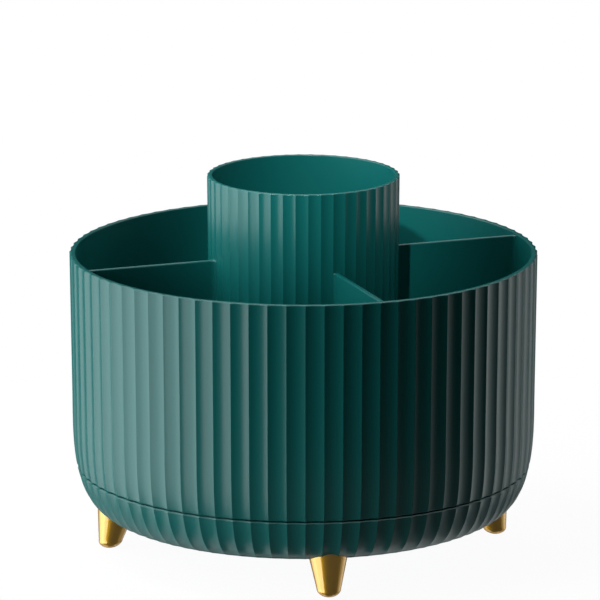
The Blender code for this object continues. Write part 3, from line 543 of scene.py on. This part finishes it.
drum_corners = [
    corner(0, SCREW_HOLE_Z), corner(SCREW_HOLE_RADIUS, SCREW_HOLE_Z),
    corner(SCREW_HOLE_RADIUS, HUB_END_Z, rounding=0.3), corner(HUB_RADIUS, HUB_END_Z, rounding=0.4),
    corner(HUB_RADIUS, DRUM_UNDERSIDE_Z, rounding=0.8)]
for inner, outer in DRUM_RIBS:
    drum_corners += [corner(inner, DRUM_UNDERSIDE_Z), corner(inner, DRUM_RIB_Z),
                     corner(outer, DRUM_RIB_Z), corner(outer, DRUM_UNDERSIDE_Z)]
drum_corners += [corner(SKIRT_INNER, DRUM_UNDERSIDE_Z), corner(SKIRT_INNER, SKIRT_Z, rounding=0.2),
                 corner(wall_radius(SKIRT_Z), SKIRT_Z, rounding=0.5, press=LEVEL)]
for part in range(CURVE_STEPS - 1, 0, -1):
    radius, z, out = wall_point(wall_angle(SKIRT_Z) * part / CURVE_STEPS)
    drum_corners.append(corner(radius, z, press=out))
drum_corners += [corner(STRAIGHT_RADIUS, STRAIGHT_Z, press=LEVEL),
                 corner(RIM_RADIUS, RIM_Z, rounding=0.5, press=LEVEL),
                 corner(RIM_RADIUS - WALL, RIM_Z, rounding=0.35), corner(STRAIGHT_RADIUS - WALL, STRAIGHT_Z)]
drum_corners += [corner(wall_radius(z) - WALL, z) for z in INSIDE_HEIGHTS]
drum_corners.append(corner(wall_radius(DRUM_FLOOR_Z) - WALL, DRUM_FLOOR_Z, rounding=1.6))
drum_corners += [
    corner(CUP_RING_OUTER, DRUM_FLOOR_Z, rounding=0.4), corner(CUP_RING_OUTER, CUP_RING_Z, rounding=0.4),
    corner(CUP_RING_INNER, CUP_RING_Z, rounding=0.4), corner(CUP_RING_INNER, DRUM_FLOOR_Z, rounding=0.4),
    corner(0, DRUM_FLOOR_Z)]
drum_line = outline_mesh("drum_line", rounded(drum_corners, False))
drum_mesh = run_tree(turned, "drum", drum_line, Flutes=DRUM_FLUTES, Facets=FACETS, Closed=0,
                     Depth=DRUM_FLUTE_DEPTH * MM, Start=DRUM_FLUTE_START, Material=drum_green)
keep("fluted_drum", drum_mesh, "drum", "drum", "drum_shell")

# %% [markdown]
# ## Bowl
# The bowl carries the same flutes on down. They run out where the wall turns under: full until it slopes by
# 35 degrees, gone at 85, so the lower edge looks smooth from the front although the ridges go on to it. A
# small chamfer breaks the bowl's top edge and draws the thin light line under the dark gap. Inside are the
# lip that guides the skirt, two ribs for the lower race and the boss of the pivot. One closed outline holds
# all of this, so the bowl is one solid, as it comes out of its mould.

# %% Bowl outline and piece
FADE_START, FADE_END = radians(35), radians(85)
CHAMFER = 0.5
LIP_GAP, LIP_THICKNESS = 0.4, 1.4
LIP_OUTER = SKIRT_INNER - LIP_GAP
LIP_INNER = LIP_OUTER - LIP_THICKNESS
BOWL_STEPS, BOWL_CROWDING = 24, 1.3
INSIDE_STEPS, INSIDE_STEEPEST = 6, radians(78)
split_angle = wall_angle(SPLIT_Z)

bowl_corners = [corner(RECESS_RADIUS, UNDERSIDE_Z, rounding=0.4)]
for part in range(BOWL_STEPS):
    radius, z, out = wall_point(pi / 2 - (pi / 2 - split_angle) * (part / BOWL_STEPS) ** BOWL_CROWDING)
    flute_left = (FADE_END - atan2(-out.z, out.x)) / (FADE_END - FADE_START)
    bowl_corners.append(corner(radius, z, press=out * sin(pi / 2 * min(max(flute_left, 0), 1)) ** 2))
bowl_corners += [
    corner(wall_radius(SPLIT_Z - CHAMFER), SPLIT_Z - CHAMFER, rounding=0.15, press=LEVEL),
    corner(wall_radius(SPLIT_Z) - CHAMFER, SPLIT_Z, rounding=0.15, press=LEVEL), corner(LIP_OUTER, SPLIT_Z),
    corner(LIP_OUTER, LIP_Z, rounding=0.3), corner(LIP_INNER, LIP_Z, rounding=0.3)]
for part in range(INSIDE_STEPS + 1):
    radius, z, out = wall_point(split_angle + (INSIDE_STEEPEST - split_angle) * part / INSIDE_STEPS)
    inside = Vector((radius, 0, z)) - out * WALL
    bowl_corners.append(corner(min(inside.x, LIP_INNER), max(inside.z, BOWL_FLOOR_Z)))
for inner, outer in BOWL_RIBS:
    bowl_corners += [corner(outer, BOWL_FLOOR_Z), corner(outer, BOWL_RIB_Z),
                     corner(inner, BOWL_RIB_Z), corner(inner, BOWL_FLOOR_Z)]
bowl_corners += [
    corner(BOSS_RADIUS, BOWL_FLOOR_Z, rounding=0.8), corner(BOSS_RADIUS, BOSS_Z, rounding=0.4),
    corner(BUSH_SEAT_RADIUS, BOSS_Z), corner(BUSH_SEAT_RADIUS, BUSH_SEAT_Z),
    corner(BUSH_HOLE_RADIUS, BUSH_SEAT_Z), corner(BUSH_HOLE_RADIUS, RECESS_Z),
    corner(RECESS_RADIUS, RECESS_Z)]
bowl_line = outline_mesh("bowl_line", rounded(bowl_corners, True))
bowl_mesh = run_tree(turned, "bowl", bowl_line, Flutes=DRUM_FLUTES, Facets=FACETS, Closed=1,
                     Depth=DRUM_FLUTE_DEPTH * MM, Start=DRUM_FLUTE_START, Material=drum_green)
keep("fluted_bowl", bowl_mesh, "base", "bowl", "base_bowl")

# %% [markdown]
# ## Cup
# The cup has 48 flutes of its own, a little narrower and shallower. It could be part of the drum's outline,
# but it is a separate moulding that drops over the ring on the drum's floor, so it is a piece of its own
# and its underside has a recess.

# %% Cup outline and piece
CUP_FLOOR_Z = 41.9
CUP_RECESS_RADIUS, CUP_RECESS_Z = 34.4, 39.7

cup_corners = [
    corner(0, CUP_RECESS_Z), corner(CUP_RECESS_RADIUS, CUP_RECESS_Z),
    corner(CUP_RECESS_RADIUS, CUP_Z, rounding=0.2),
    corner(cup_radius(CUP_Z), CUP_Z, rounding=0.4, press=LEVEL),
    corner(CUP_RADIUS, CUP_TOP_Z, rounding=0.45, press=LEVEL),
    corner(CUP_RADIUS - CUP_WALL, CUP_TOP_Z, rounding=0.3),
    corner(cup_radius(CUP_FLOOR_Z) - CUP_WALL, CUP_FLOOR_Z, rounding=2.0), corner(0, CUP_FLOOR_Z)]
cup_line = outline_mesh("cup_line", rounded(cup_corners, False))
cup_mesh = run_tree(turned, "cup", cup_line, Flutes=CUP_FLUTES, Facets=FACETS, Closed=0,
                    Depth=CUP_FLUTE_DEPTH * MM, Start=CUP_FLUTE_START, Material=drum_green)
keep("fluted_cup", cup_mesh, "drum", "cup", "center_cup")

# %% [markdown]
# ## Dividers
# A divider is a thin plate with a soft top edge. Its ends swell a little where they meet the cup and the
# wall, the way moulded walls do, so no dark slit shows there. A flat box would miss both ends, because the
# wall curves in and the cup tapers. So it is lofted from level loops, each as long as the distance from cup
# to wall at that height.

# %% Loft through equal loops
def loft(loops):
    """Closed mesh through equal loops, from the lowest to the highest."""
    count = len(loops[0])
    mesh = bpy.data.meshes.new("loft")
    faces = [list(reversed(range(count))), [len(loops) * count - count + here for here in range(count)]]
    for start in range(0, (len(loops) - 1) * count, count):
        for here in range(count):
            after = (here + 1) % count
            faces.append([start + here, start + after, start + count + after, start + count + here])
    mesh.from_pydata([Vector(spot) * MM for loop in loops for spot in loop], [], faces)
    return mesh


print("a loft of n loops has n - 1 bands and two ends")

# %% [markdown]
# A level loop runs along one side of the plate and back along the other. Its points crowd at both ends, where
# the plate swells in a quarter circle. The levels crowd at the top, where the edge is rounded, and near the
# floor, where the wall bends. The lowest one lies inside the floor, in the groove that holds the plate.

# %% One divider and its ring
THICKNESS, SWELL, EDGE, EDGE_STEPS = 1.9, 1.3, 0.6, 4
INTO_CUP, INTO_WALL = 0.8, 0.4
LENGTH_STEPS = 24
BELOW_RIM, DIVIDER_FOOT_Z, DIVIDER_MIDDLE_Z = 0.8, 36.8, 90.0
DIVIDERS, FIRST_DIVIDER = 4, radians(20.2)


def divider_loop(z, inset):
    inner, outer = cup_radius(z) - INTO_CUP, wall_radius(z) - WALL + INTO_WALL
    cup_face, wall_face = cup_radius(z) - CUP_FLUTE_DEPTH, wall_radius(z) - WALL
    side = []
    for part in range(LENGTH_STEPS + 1):
        share = (1 - cos(pi * part / LENGTH_STEPS)) / 2
        x = inner + (outer - inner) * share
        left = SWELL - min(SWELL, max(x - cup_face, 0), max(wall_face - x, 0))
        swell = SWELL - (SWELL * SWELL - left * left) ** 0.5
        side.append((x, THICKNESS / 2 + swell - inset))
    return [(x, y, z) for x, y in side] + [(x, -y, z) for x, y in reversed(side)]


top = RIM_Z - BELOW_RIM
levels = [(z, 0) for z in (DIVIDER_FOOT_Z, DRUM_FLOOR_Z, *reversed(INSIDE_HEIGHTS), STRAIGHT_Z,
                           DIVIDER_MIDDLE_Z, top - EDGE - GUARD)]
for part in range(EDGE_STEPS + 1):
    bend = pi / 2 * part / EDGE_STEPS
    levels.append((top - EDGE + EDGE * sin(bend), EDGE * (1 - cos(bend))))
divider = loft([divider_loop(z, inset) for z, inset in levels])
divider_mesh = run_tree(ring, "dividers", divider, Count=DIVIDERS, Start=FIRST_DIVIDER, Material=drum_green)
keep("dividers", divider_mesh, "drum", "divider", *[f"divider_{n}" for n in range(1, DIVIDERS + 1)])

# %% [markdown]
# ## Feet
# A foot is a cone that leans outward as it goes down, closed by a low dome with a tight corner between them.
# Its top isn't level: it follows the bowl. That edge could be cut with a Boolean, but moving each point of
# the top ring along the cone until it lies a little inside the bowl's wall leaves a cleaner mesh. The
# flutes then draw the wavy line between gold and green.

# %% Heights and radii of a foot
FOOT_RADIUS, LEAN, TAPER, TIP_RADIUS, DOME, PAD_RADIUS = 77.6, 0.203, 0.225, 4.75, 2.9, 1.9
INSIDE_BOWL = 1.4
LOWEST_TOP, HIGHEST_TOP, HALVINGS = 8.0, 26.0, 40


def under_bowl(radius):
    """Height of the bowl's underside at that radius."""
    share = max((radius - FLAT_RADIUS) / (STRAIGHT_RADIUS - FLAT_RADIUS), 0) ** ROUNDNESS
    return STRAIGHT_Z - (STRAIGHT_Z - UNDERSIDE_Z) * (1 - share) ** (1 / ROUNDNESS)


def foot_point(z, turn, radius):
    return FOOT_RADIUS - LEAN * z + radius * cos(turn), radius * sin(turn), z


def cone_radius(z):
    return TIP_RADIUS + TAPER * (z - DOME)


def top_height(turn):
    """Height at which this line of the cone is inside the bowl, found by halving the range."""
    low, high = LOWEST_TOP, HIGHEST_TOP
    for _ in range(HALVINGS):
        z = (low + high) / 2
        x, y, _ = foot_point(z, turn, cone_radius(z))
        low, high = (z, high) if z < under_bowl(hypot(x, y)) + INSIDE_BOWL else (low, z)
    return low


print(f"a foot reaches {top_height(0):.1f} mm up on its outer side, {top_height(pi):.1f} mm on its inner")

# %% [markdown]
# The foot is lofted upwards from the flat pad that it stands on: the dome first, with its rows crowded at
# the tight corner, and then the cone, whose rows bend more and more towards the wavy top.

# %% One foot and its ring
FOOT_SIDES, DOME_STEPS, DOME_CROWDING = 64, 12, 0.8
CONE_ROWS = (0.05, 0.3, 0.65, 1.0)
FEET, FIRST_FOOT = 4, radians(7.3)

turns = [tau * here / FOOT_SIDES for here in range(FOOT_SIDES)]
pad_angle = asin(PAD_RADIUS / TIP_RADIUS)
rise = DOME / cos(pad_angle)
loops = []
for part in range(DOME_STEPS + 1):
    bend = pad_angle + (pi / 2 - pad_angle) * (part / DOME_STEPS) ** DOME_CROWDING
    loops.append([foot_point(DOME - rise * cos(bend), turn, TIP_RADIUS * sin(bend)) for turn in turns])
for part in CONE_ROWS:
    heights = [DOME + (top_height(turn) - DOME) * part for turn in turns]
    loops.append([foot_point(z, turn, cone_radius(z)) for z, turn in zip(heights, turns)])
feet_mesh = run_tree(ring, "feet", loft(loops), Count=FEET, Start=FIRST_FOOT, Material=gold)
keep("gold_feet", feet_mesh, "base", "foot", *[f"foot_{n}" for n in range(1, FEET + 1)])

# %% [markdown]
# ## Screws
# All the screws have a pan head with a cross recess. The head is turned, then a small cross is cut into it
# with a Boolean. A real thread is a helix; here it is drawn as rings, one for each pitch, which is enough
# for screws that are hidden and keeps the mesh closed. Sizes of the head are shares of its radius and height.

# %% Make one screw, standing on its head's seat
PITCH, TIP, CORE, NECK = 0.8, 0.5, 0.8, 0.3
HEAD_LINE = ((0.96, 0), (1, 0.1), (1, 0.45), (0.93, 0.7), (0.75, 0.9), (0.45, 1), (0, 1))
ARM, HALF_ARM, ARM_TIP = 0.55, 0.10, 0.6
CROSS_FLOOR, CROSS_TOP = (0.5, 0.25), (1.1, 1.2)
SCREW_SIDES = 32


def cross_cutter(head, height):
    """A cross that narrows downwards, from above the head to a little above its seat."""
    arm, half = head * ARM, head * HALF_ARM
    quarter = [Vector((arm, -half * ARM_TIP)), Vector((arm, half * ARM_TIP)), Vector((half, half))]
    cross = [Matrix.Rotation(turn * pi / 2, 2) @ spot for turn in range(4) for spot in quarter]
    ends = (CROSS_FLOOR, CROSS_TOP)
    return loft([[(x * wide, y * wide, height * up) for x, y in cross] for wide, up in ends])


def screw(shank, head, height, length):
    core = shank * CORE
    outline = [(0, -length), (shank * TIP, -length), (core, shank * TIP - length)]
    z = core - length
    while z < -PITCH:
        outline += [(core, z), (shank, z + PITCH / 2)]
        z += PITCH
    outline += [(core, -PITCH * NECK), (core, 0)]
    outline += [(head * wide, height * up) for wide, up in HEAD_LINE]
    line = outline_mesh("screw_line", [(Vector((x, 0, y)), NONE) for x, y in outline])
    body = run_tree(turned, "screw", line, Flutes=SCREW_SIDES, Facets=1, Closed=0, Depth=0.0, Start=0.0,
                    Material=zinc)
    solid = bpy.data.objects.new("screw", body)
    tool = bpy.data.objects.new("cross", cross_cutter(head, height))
    for one in (solid, tool):
        bpy.context.scene.collection.objects.link(one)
    cut = solid.modifiers.new("cross", "BOOLEAN")
    cut.solver = "EXACT"
    cut.object = tool
    graph = bpy.context.evaluated_depsgraph_get()
    made = bpy.data.meshes.new_from_object(solid.evaluated_get(graph))
    for one in (solid, tool):
        bpy.data.objects.remove(one)
    return made


print(f"a screw's thread has a ring every {PITCH} mm")

# %% [markdown]
# The base holds the screws of the feet and of the lower race, the drum those of the upper race, which hang
# head down, and the one pivot screw that holds drum and base together. Each set is one ring of copies.

# %% Screws of the base and of the drum
def screws(name, nodes, body, blank, x, seat_z, first=0.0, head_down=False):
    """One ring of screws. The blank is the shank's radius, the head's radius and height, and the length."""
    turn_over = Matrix.Rotation(pi, 4, "X") if head_down else Matrix.Identity(4)
    one = screw(*blank)
    one.transform(Matrix.Translation((x * MM, 0, seat_z * MM)) @ turn_over)
    keep(name, run_tree(ring, name, one, Count=len(nodes), Start=first, Material=zinc), body, "screw", *nodes)


RACE_SCREWS, FIRST_RACE_SCREW = 4, radians(45)
screws("foot_screws", [f"foot_screw_{n}" for n in range(1, FEET + 1)], "base",
       blank=(1.5, 3.0, 2.0, 14.6), x=74.78, seat_z=20.8, first=FIRST_FOOT)
screws("lower_race_screws", [f"lower_race_screw_{n}" for n in range(1, RACE_SCREWS + 1)], "base",
       blank=(1.2, 2.6, 1.6, 6.8), x=48.5, seat_z=24.5, first=FIRST_RACE_SCREW)
screws("upper_race_screws", [f"upper_race_screw_{n}" for n in range(1, RACE_SCREWS + 1)], "drum",
       blank=(1.2, 2.6, 1.6, 6.0), x=67.5, seat_z=28.3, first=FIRST_RACE_SCREW, head_down=True)
screws("pivot_screw_fine", ["pivot_screw"], "drum",
       blank=(2.2, 4.5, 2.6, 13.0), x=0, seat_z=17.7, head_down=True)

# %% [markdown]
# ## Bearing
# Twelve steel balls run between two races, kept apart by a cage. A race is a flat ring with a round groove,
# so its outline has an arc in it. The groove could be cut with a Boolean and a torus, but an arc in the
# outline is exact. The tree that turned the drum turns the races too, with a flute depth of nothing.

# %% Races
GROOVE_STEPS, RACE_EDGE = 12, 0.3
RACE_SIDES = 192


def race(name, radii, back, face, body, node):
    inner, outer = radii
    side = 1 if back > face else -1
    groove_end = asin((GROOVE_RADIUS ** 2 - (face - BALL_Z) ** 2) ** 0.5 / GROOVE_RADIUS)
    groove = []
    for part in range(GROOVE_STEPS + 1):
        bend = groove_end - 2 * groove_end * part / GROOVE_STEPS
        groove.append(corner(BALL_CIRCLE + GROOVE_RADIUS * sin(bend),
                             BALL_Z + side * GROOVE_RADIUS * cos(bend)))
    flat = [corner(inner, back, RACE_EDGE), corner(outer, back, RACE_EDGE), corner(outer, face, RACE_EDGE)]
    line = outline_mesh(name, rounded(flat + groove + [corner(inner, face, RACE_EDGE)], True))
    mesh = run_tree(turned, name, line, Flutes=RACE_SIDES, Facets=1, Closed=1, Depth=0.0, Start=0.0,
                    Material=race_steel)
    keep(name, mesh, body, "race", node)


lower_face = LOWER_RACE_BACK_Z + RACE_THICKNESS
upper_face = UPPER_RACE_BACK_Z - RACE_THICKNESS
race("lower_race_fine", LOWER_RACE, LOWER_RACE_BACK_Z, lower_face, "base", "lower_race")
race("upper_race_fine", UPPER_RACE, UPPER_RACE_BACK_Z, upper_face, "drum", "upper_race")

# %% [markdown]
# The balls are ground steel. A sphere of rings and segments is enough, because the cage hides most of each.
# One is made in its place on the X axis, and the ring tree makes twelve of it.

# %% Balls
BALLS, BALL_AROUND, BALL_UP = 12, 32, 20

ball = bmesh.new()
bmesh.ops.create_uvsphere(ball, u_segments=BALL_AROUND, v_segments=BALL_UP, radius=BALL_RADIUS * MM)
bmesh.ops.translate(ball, verts=ball.verts[:], vec=(BALL_CIRCLE * MM, 0, BALL_Z * MM))
one_ball = bpy.data.meshes.new("ball")
ball.to_mesh(one_ball)
ball.free()
balls = run_tree(ring, "balls", one_ball, Count=BALLS, Start=0.0, Material=ball_steel)
keep("steel_balls", balls, "ball_ring", "ball", *[f"ball_{n}" for n in range(1, BALLS + 1)])

# %% [markdown]
# The washer under the pivot screw carries the drum's hub. It is punched from sheet, so its edges are rounded
# on the side that the punch came from and sharp on the other. A turned outline gives each corner its own
# rounding.

# %% Washer of the pivot
WASHER_RADIUS, WASHER_Z, WASHER_TOP_Z = 9.5, 18.0, 19.2
WASHER_SIDES = 96

washer = [corner(SCREW_HOLE_RADIUS, WASHER_Z, rounding=0.15), corner(WASHER_RADIUS, WASHER_Z, rounding=0.35),
          corner(WASHER_RADIUS, WASHER_TOP_Z), corner(SCREW_HOLE_RADIUS, WASHER_TOP_Z)]
washer_line = outline_mesh("washer", rounded(washer, True))
washer_mesh = run_tree(turned, "washer", washer_line, Flutes=WASHER_SIDES, Facets=1, Closed=1, Depth=0.0,
                       Start=0.0, Material=race_steel)
keep("pivot_washer_fine", washer_mesh, "drum", "race", "pivot_washer")

# %% [markdown]
# ## Pieces that keep the model's own shape
# The cage and the bush are plain mouldings inside the bearing. They could be modelled again, but their
# shape is right as it is, so they only get their finish.

# %% Finish the cage and the bush
for node in ("ball_cage", "pivot_bush"):
    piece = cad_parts[node]
    piece.data.materials.clear()
    piece.data.materials.append(acetal)
print("cage and bush:", acetal.name)

# %% [markdown]
# ## Floor
# The object stands on a thin white sheet, like tracing paper on a lit table. Nine tenths of the light goes
# through, so the low light boxes shine from below and the white background shows through. The rest is paper
# that glows a little and takes the light and the shadow. Where nothing shades it, sheet and background add
# up to white and its edge can't be seen. Metal mirrors it, which keeps the feet from turning black. From
# underneath it is clear, so that the underside can be looked at. A solid white floor would be simpler, but
# it would throw its light up at the bowl, which the photograph shows dark.

# %% White sheet
LETS_THROUGH, GLOW = 0.9, 0.55
SHEET_RADIUS, SHEET_SIDES = 0.28, 128


def white_sheet():
    material, tree, shader = new_material("white_tracing_paper")
    tree.nodes.remove(shader)
    paper = add_node(tree, "ShaderNodeBsdfDiffuse", inputs={"Color": linear("#e6e6e6")})
    glow = add_node(tree, "ShaderNodeEmission", inputs={"Color": linear("#ffffff"), "Strength": GLOW})
    lifted = add_node(tree, "ShaderNodeAddShader", inputs={0: paper, 1: glow})
    clear = add_node(tree, "ShaderNodeBsdfTransparent")
    below = add_node(tree, "ShaderNodeNewGeometry").outputs["Backfacing"]
    through = add_node(tree, MATH, {"operation": "MAXIMUM"}, {0: below, 1: LETS_THROUGH})
    sheet = add_node(tree, "ShaderNodeMixShader", inputs={0: through, 1: lifted, 2: clear})
    tree.links.new(sheet.outputs[0], tree.nodes["Material Output"].inputs["Surface"])
    return material


disc = bmesh.new()
bmesh.ops.create_circle(disc, cap_ends=True, segments=SHEET_SIDES, radius=SHEET_RADIUS)
floor_mesh = bpy.data.meshes.new("floor")
disc.to_mesh(floor_mesh)
disc.free()
floor_mesh.materials.append(white_sheet())
floor = bpy.data.objects.new("floor", floor_mesh)
bpy.context.scene.collection.objects.link(floor)
floor.visible_diffuse = floor.visible_shadow = False
print(f"floor: a sheet {2 * SHEET_RADIUS:.2f} m across")

# %% [markdown]
# ## Light
# The flutes of the real object mirror a long row of pale panels on the left and a short dim one on the
# right. A picture of a studio around the object could stand for them, but lamps can be moved and dimmed one
# by one. Every lamp hangs in a direction seen from the object, at a distance, and faces the object.

# %% Hang a lamp
CENTRE = Vector((0, 0, 0.08))
BOX_DISTANCE = 1.2


def toward(azimuth, elevation):
    """Direction seen from the object: azimuth from the camera's side to its right, elevation up."""
    around, up = radians(azimuth), radians(elevation)
    return Vector((sin(around) * cos(up), -cos(around) * cos(up), sin(up)))


def hang(name, lamp, target, direction, distance):
    lamp_object = bpy.data.objects.new(name, lamp)
    bpy.context.scene.collection.objects.link(lamp_object)
    lamp_object.location = target + direction * distance
    lamp_object.rotation_euler = direction.to_track_quat("Z", "Y").to_euler()
    lamp_object.visible_camera = False


print(f"light boxes hang {BOX_DISTANCE} m away")

# %% [markdown]
# A light box is given by the directions between which the object sees it, in degrees, and by how bright its
# face looks. Its place, size and power follow from those. Side boxes are the panels that the flutes mirror.
# Low boxes do what a lit table would: they light the feet and the bowl from below at the sides, and leave
# the front dark. High boxes light the inside, and a small one high on the left draws thin lines on the rims.

# %% Light boxes
SIDE, LOW, HIGH, HIGHEST = (-30, 37), (-75, -30), (40, 70), (68, 80)
boxes = [
    ((-57, -39), SIDE, 2.15), ((-75, -57), SIDE, 1.95), ((-93, -75), SIDE, 2.40), ((-111, -93), SIDE, 2.05),
    ((-129, -111), SIDE, 1.50), ((-165, -147), SIDE, 0.14),
    ((81, 99), SIDE, 0.20), ((99, 117), SIDE, 0.57), ((117, 135), SIDE, 0.92), ((135, 153), SIDE, 0.12),
    ((-127, -83), LOW, 0.71), ((-172, -128), LOW, 0.35), ((83, 127), LOW, 0.21), ((128, 172), LOW, 0.48),
    ((-125, -55), HIGH, 1.20), ((145, 215), HIGH, 1.30), ((55, 125), HIGH, 0.12),
    ((-82, -48), HIGHEST, 12)]


def light_box(name, azimuths, elevations, brightness):
    azimuth, elevation = sum(azimuths) / 2, sum(elevations) / 2
    lamp = bpy.data.lights.new(name, "AREA")
    lamp.shape = "RECTANGLE"
    lamp.size = 2 * BOX_DISTANCE * tan(radians(azimuths[1] - azimuths[0]) / 2) * cos(radians(elevation))
    lamp.size_y = 2 * BOX_DISTANCE * tan(radians(elevations[1] - elevations[0]) / 2)
    lamp.energy = brightness * pi * lamp.size * lamp.size_y
    hang(name, lamp, CENTRE, toward(azimuth, elevation), BOX_DISTANCE)
    return lamp.energy


powers = [light_box(f"box_{number}", *box) for number, box in enumerate(boxes, start=1)]
print(f"{len(boxes)} light boxes, {sum(powers):.0f} W in all")

# %% [markdown]
# The cup stands above the rim and is a little lighter at its front than the drum. A box would light both, so
# a small spot lamp does that, narrowed to the cup. It stands high in front, a little to the left.

# %% Spot on the cup
ON_CUP = Vector((0, 0, 0.154))
SPOT_POWER, SPOT_SIZE, SPOT_WIDTH, SPOT_DISTANCE = 38, 0.02, radians(6.4), 1.3

spot = bpy.data.lights.new("cup_spot", "SPOT")
spot.energy = SPOT_POWER
spot.shadow_soft_size = SPOT_SIZE
spot.spot_size, spot.spot_blend = SPOT_WIDTH, 1.0
hang("cup_spot", spot, ON_CUP, toward(-12, 35), SPOT_DISTANCE)
print("cup spot:", spot.energy, "W")

# %% [markdown]
# The background is the white world. The camera sees it, and so do mirrored and see-through rays, so metal
# shows it too. It lights nothing, because other rays find it almost black: the lamps do that.

# %% White world
WORLD_DARK = (0.01, 0.01, 0.01, 1)

world = bpy.data.worlds.new("studio")
bpy.context.scene.world = world
world.use_nodes = True
sky = world.node_tree
sky.nodes.clear()
path = add_node(sky, "ShaderNodeLightPath").outputs
direct = add_node(sky, MATH, {"operation": "MAXIMUM"}, {0: path["Is Camera Ray"], 1: path["Is Glossy Ray"]})
seen = add_node(sky, MATH, {"operation": "MAXIMUM"}, {0: direct, 1: path["Is Transmission Ray"]})
shade = add_node(sky, "ShaderNodeMix", {"data_type": "RGBA"}, {
    "Factor": seen, "A": WORLD_DARK, "B": linear("#ffffff")})
ground = add_node(sky, "ShaderNodeBackground", inputs={"Color": shade.outputs["Result"], "Strength": 1.0})
add_node(sky, "ShaderNodeOutputWorld", inputs={"Surface": ground})
print("world: white to the camera and to gloss")

# %% [markdown]
# A photographer who wants a dark product to stay dark hangs black cloth around it, just outside the picture.
# The tent here is such a cloth: a drum of black cloth with a floor and no roof, which the camera doesn't
# see. The plastic mirrors it in front instead of the white world, and edges that face up still mirror the
# white above.

# %% Black tent
TENT_RADIUS, TENT_LOW, TENT_HIGH, TENT_SIDES = 1.6, -1.6, 1.1, 64

cloth, _, cloth_shader = new_material("black_cloth")
cloth_shader.inputs["Base Color"].default_value = linear("#181818")
cloth_shader.inputs["Roughness"].default_value = 1.0
cloth_shader.inputs["Specular IOR Level"].default_value = 0.0
wall = bmesh.new()
bmesh.ops.create_cone(wall, cap_ends=True, segments=TENT_SIDES, radius1=TENT_RADIUS, radius2=TENT_RADIUS,
                      depth=TENT_HIGH - TENT_LOW)
bmesh.ops.translate(wall, verts=wall.verts[:], vec=(0, 0, (TENT_HIGH + TENT_LOW) / 2))
roof = [face for face in wall.faces if face.normal.z > HALF]
bmesh.ops.delete(wall, geom=roof, context="FACES")
tent_mesh = bpy.data.meshes.new("tent")
wall.to_mesh(tent_mesh)
wall.free()
tent_mesh.materials.append(cloth)
tent = bpy.data.objects.new("tent", tent_mesh)
bpy.context.scene.collection.objects.link(tent)
tent.visible_camera = tent.visible_shadow = False
print(f"tent: {2 * TENT_RADIUS} m across")

# %% [markdown]
# ## Camera
# The photograph was measured: the ellipses of the rims give a lens far away, looking 13 degrees down. The
# camera stands 2.03 m from the centre of the rim, and is turned a little so that the rim's centre falls 50
# pixels above the middle of the picture. A shift of the lens would frame it as well, but turning is what
# the photographer did.

# %% Camera
PIXELS, FOCAL_PIXELS = 600, 5153.4
LOOK_DOWN, DISTANCE = 0.2292, 22.026 * RIM_RADIUS * MM
RIM_PIXEL = (303.5, 250.2)
NEAREST, FARTHEST = 0.01, 100

lens = bpy.data.cameras.new("camera")
lens.sensor_width = 36.0
lens.lens = lens.sensor_width * FOCAL_PIXELS / PIXELS
lens.clip_start, lens.clip_end = NEAREST, FARTHEST
camera = bpy.data.objects.new("camera", lens)
bpy.context.scene.collection.objects.link(camera)
camera.location = (0, -DISTANCE * cos(LOOK_DOWN), RIM_Z * MM + DISTANCE * sin(LOOK_DOWN))
turn_down = LOOK_DOWN + atan((PIXELS / 2 - RIM_PIXEL[1]) / FOCAL_PIXELS)
turn_left = atan((RIM_PIXEL[0] - PIXELS / 2) / FOCAL_PIXELS)
camera.rotation_euler = (pi / 2 - turn_down, 0, turn_left)
bpy.context.scene.camera = camera
bpy.context.scene.view_settings.view_transform = "Standard"
print(f"camera: {lens.lens:.1f} mm lens, {DISTANCE:.2f} m away")
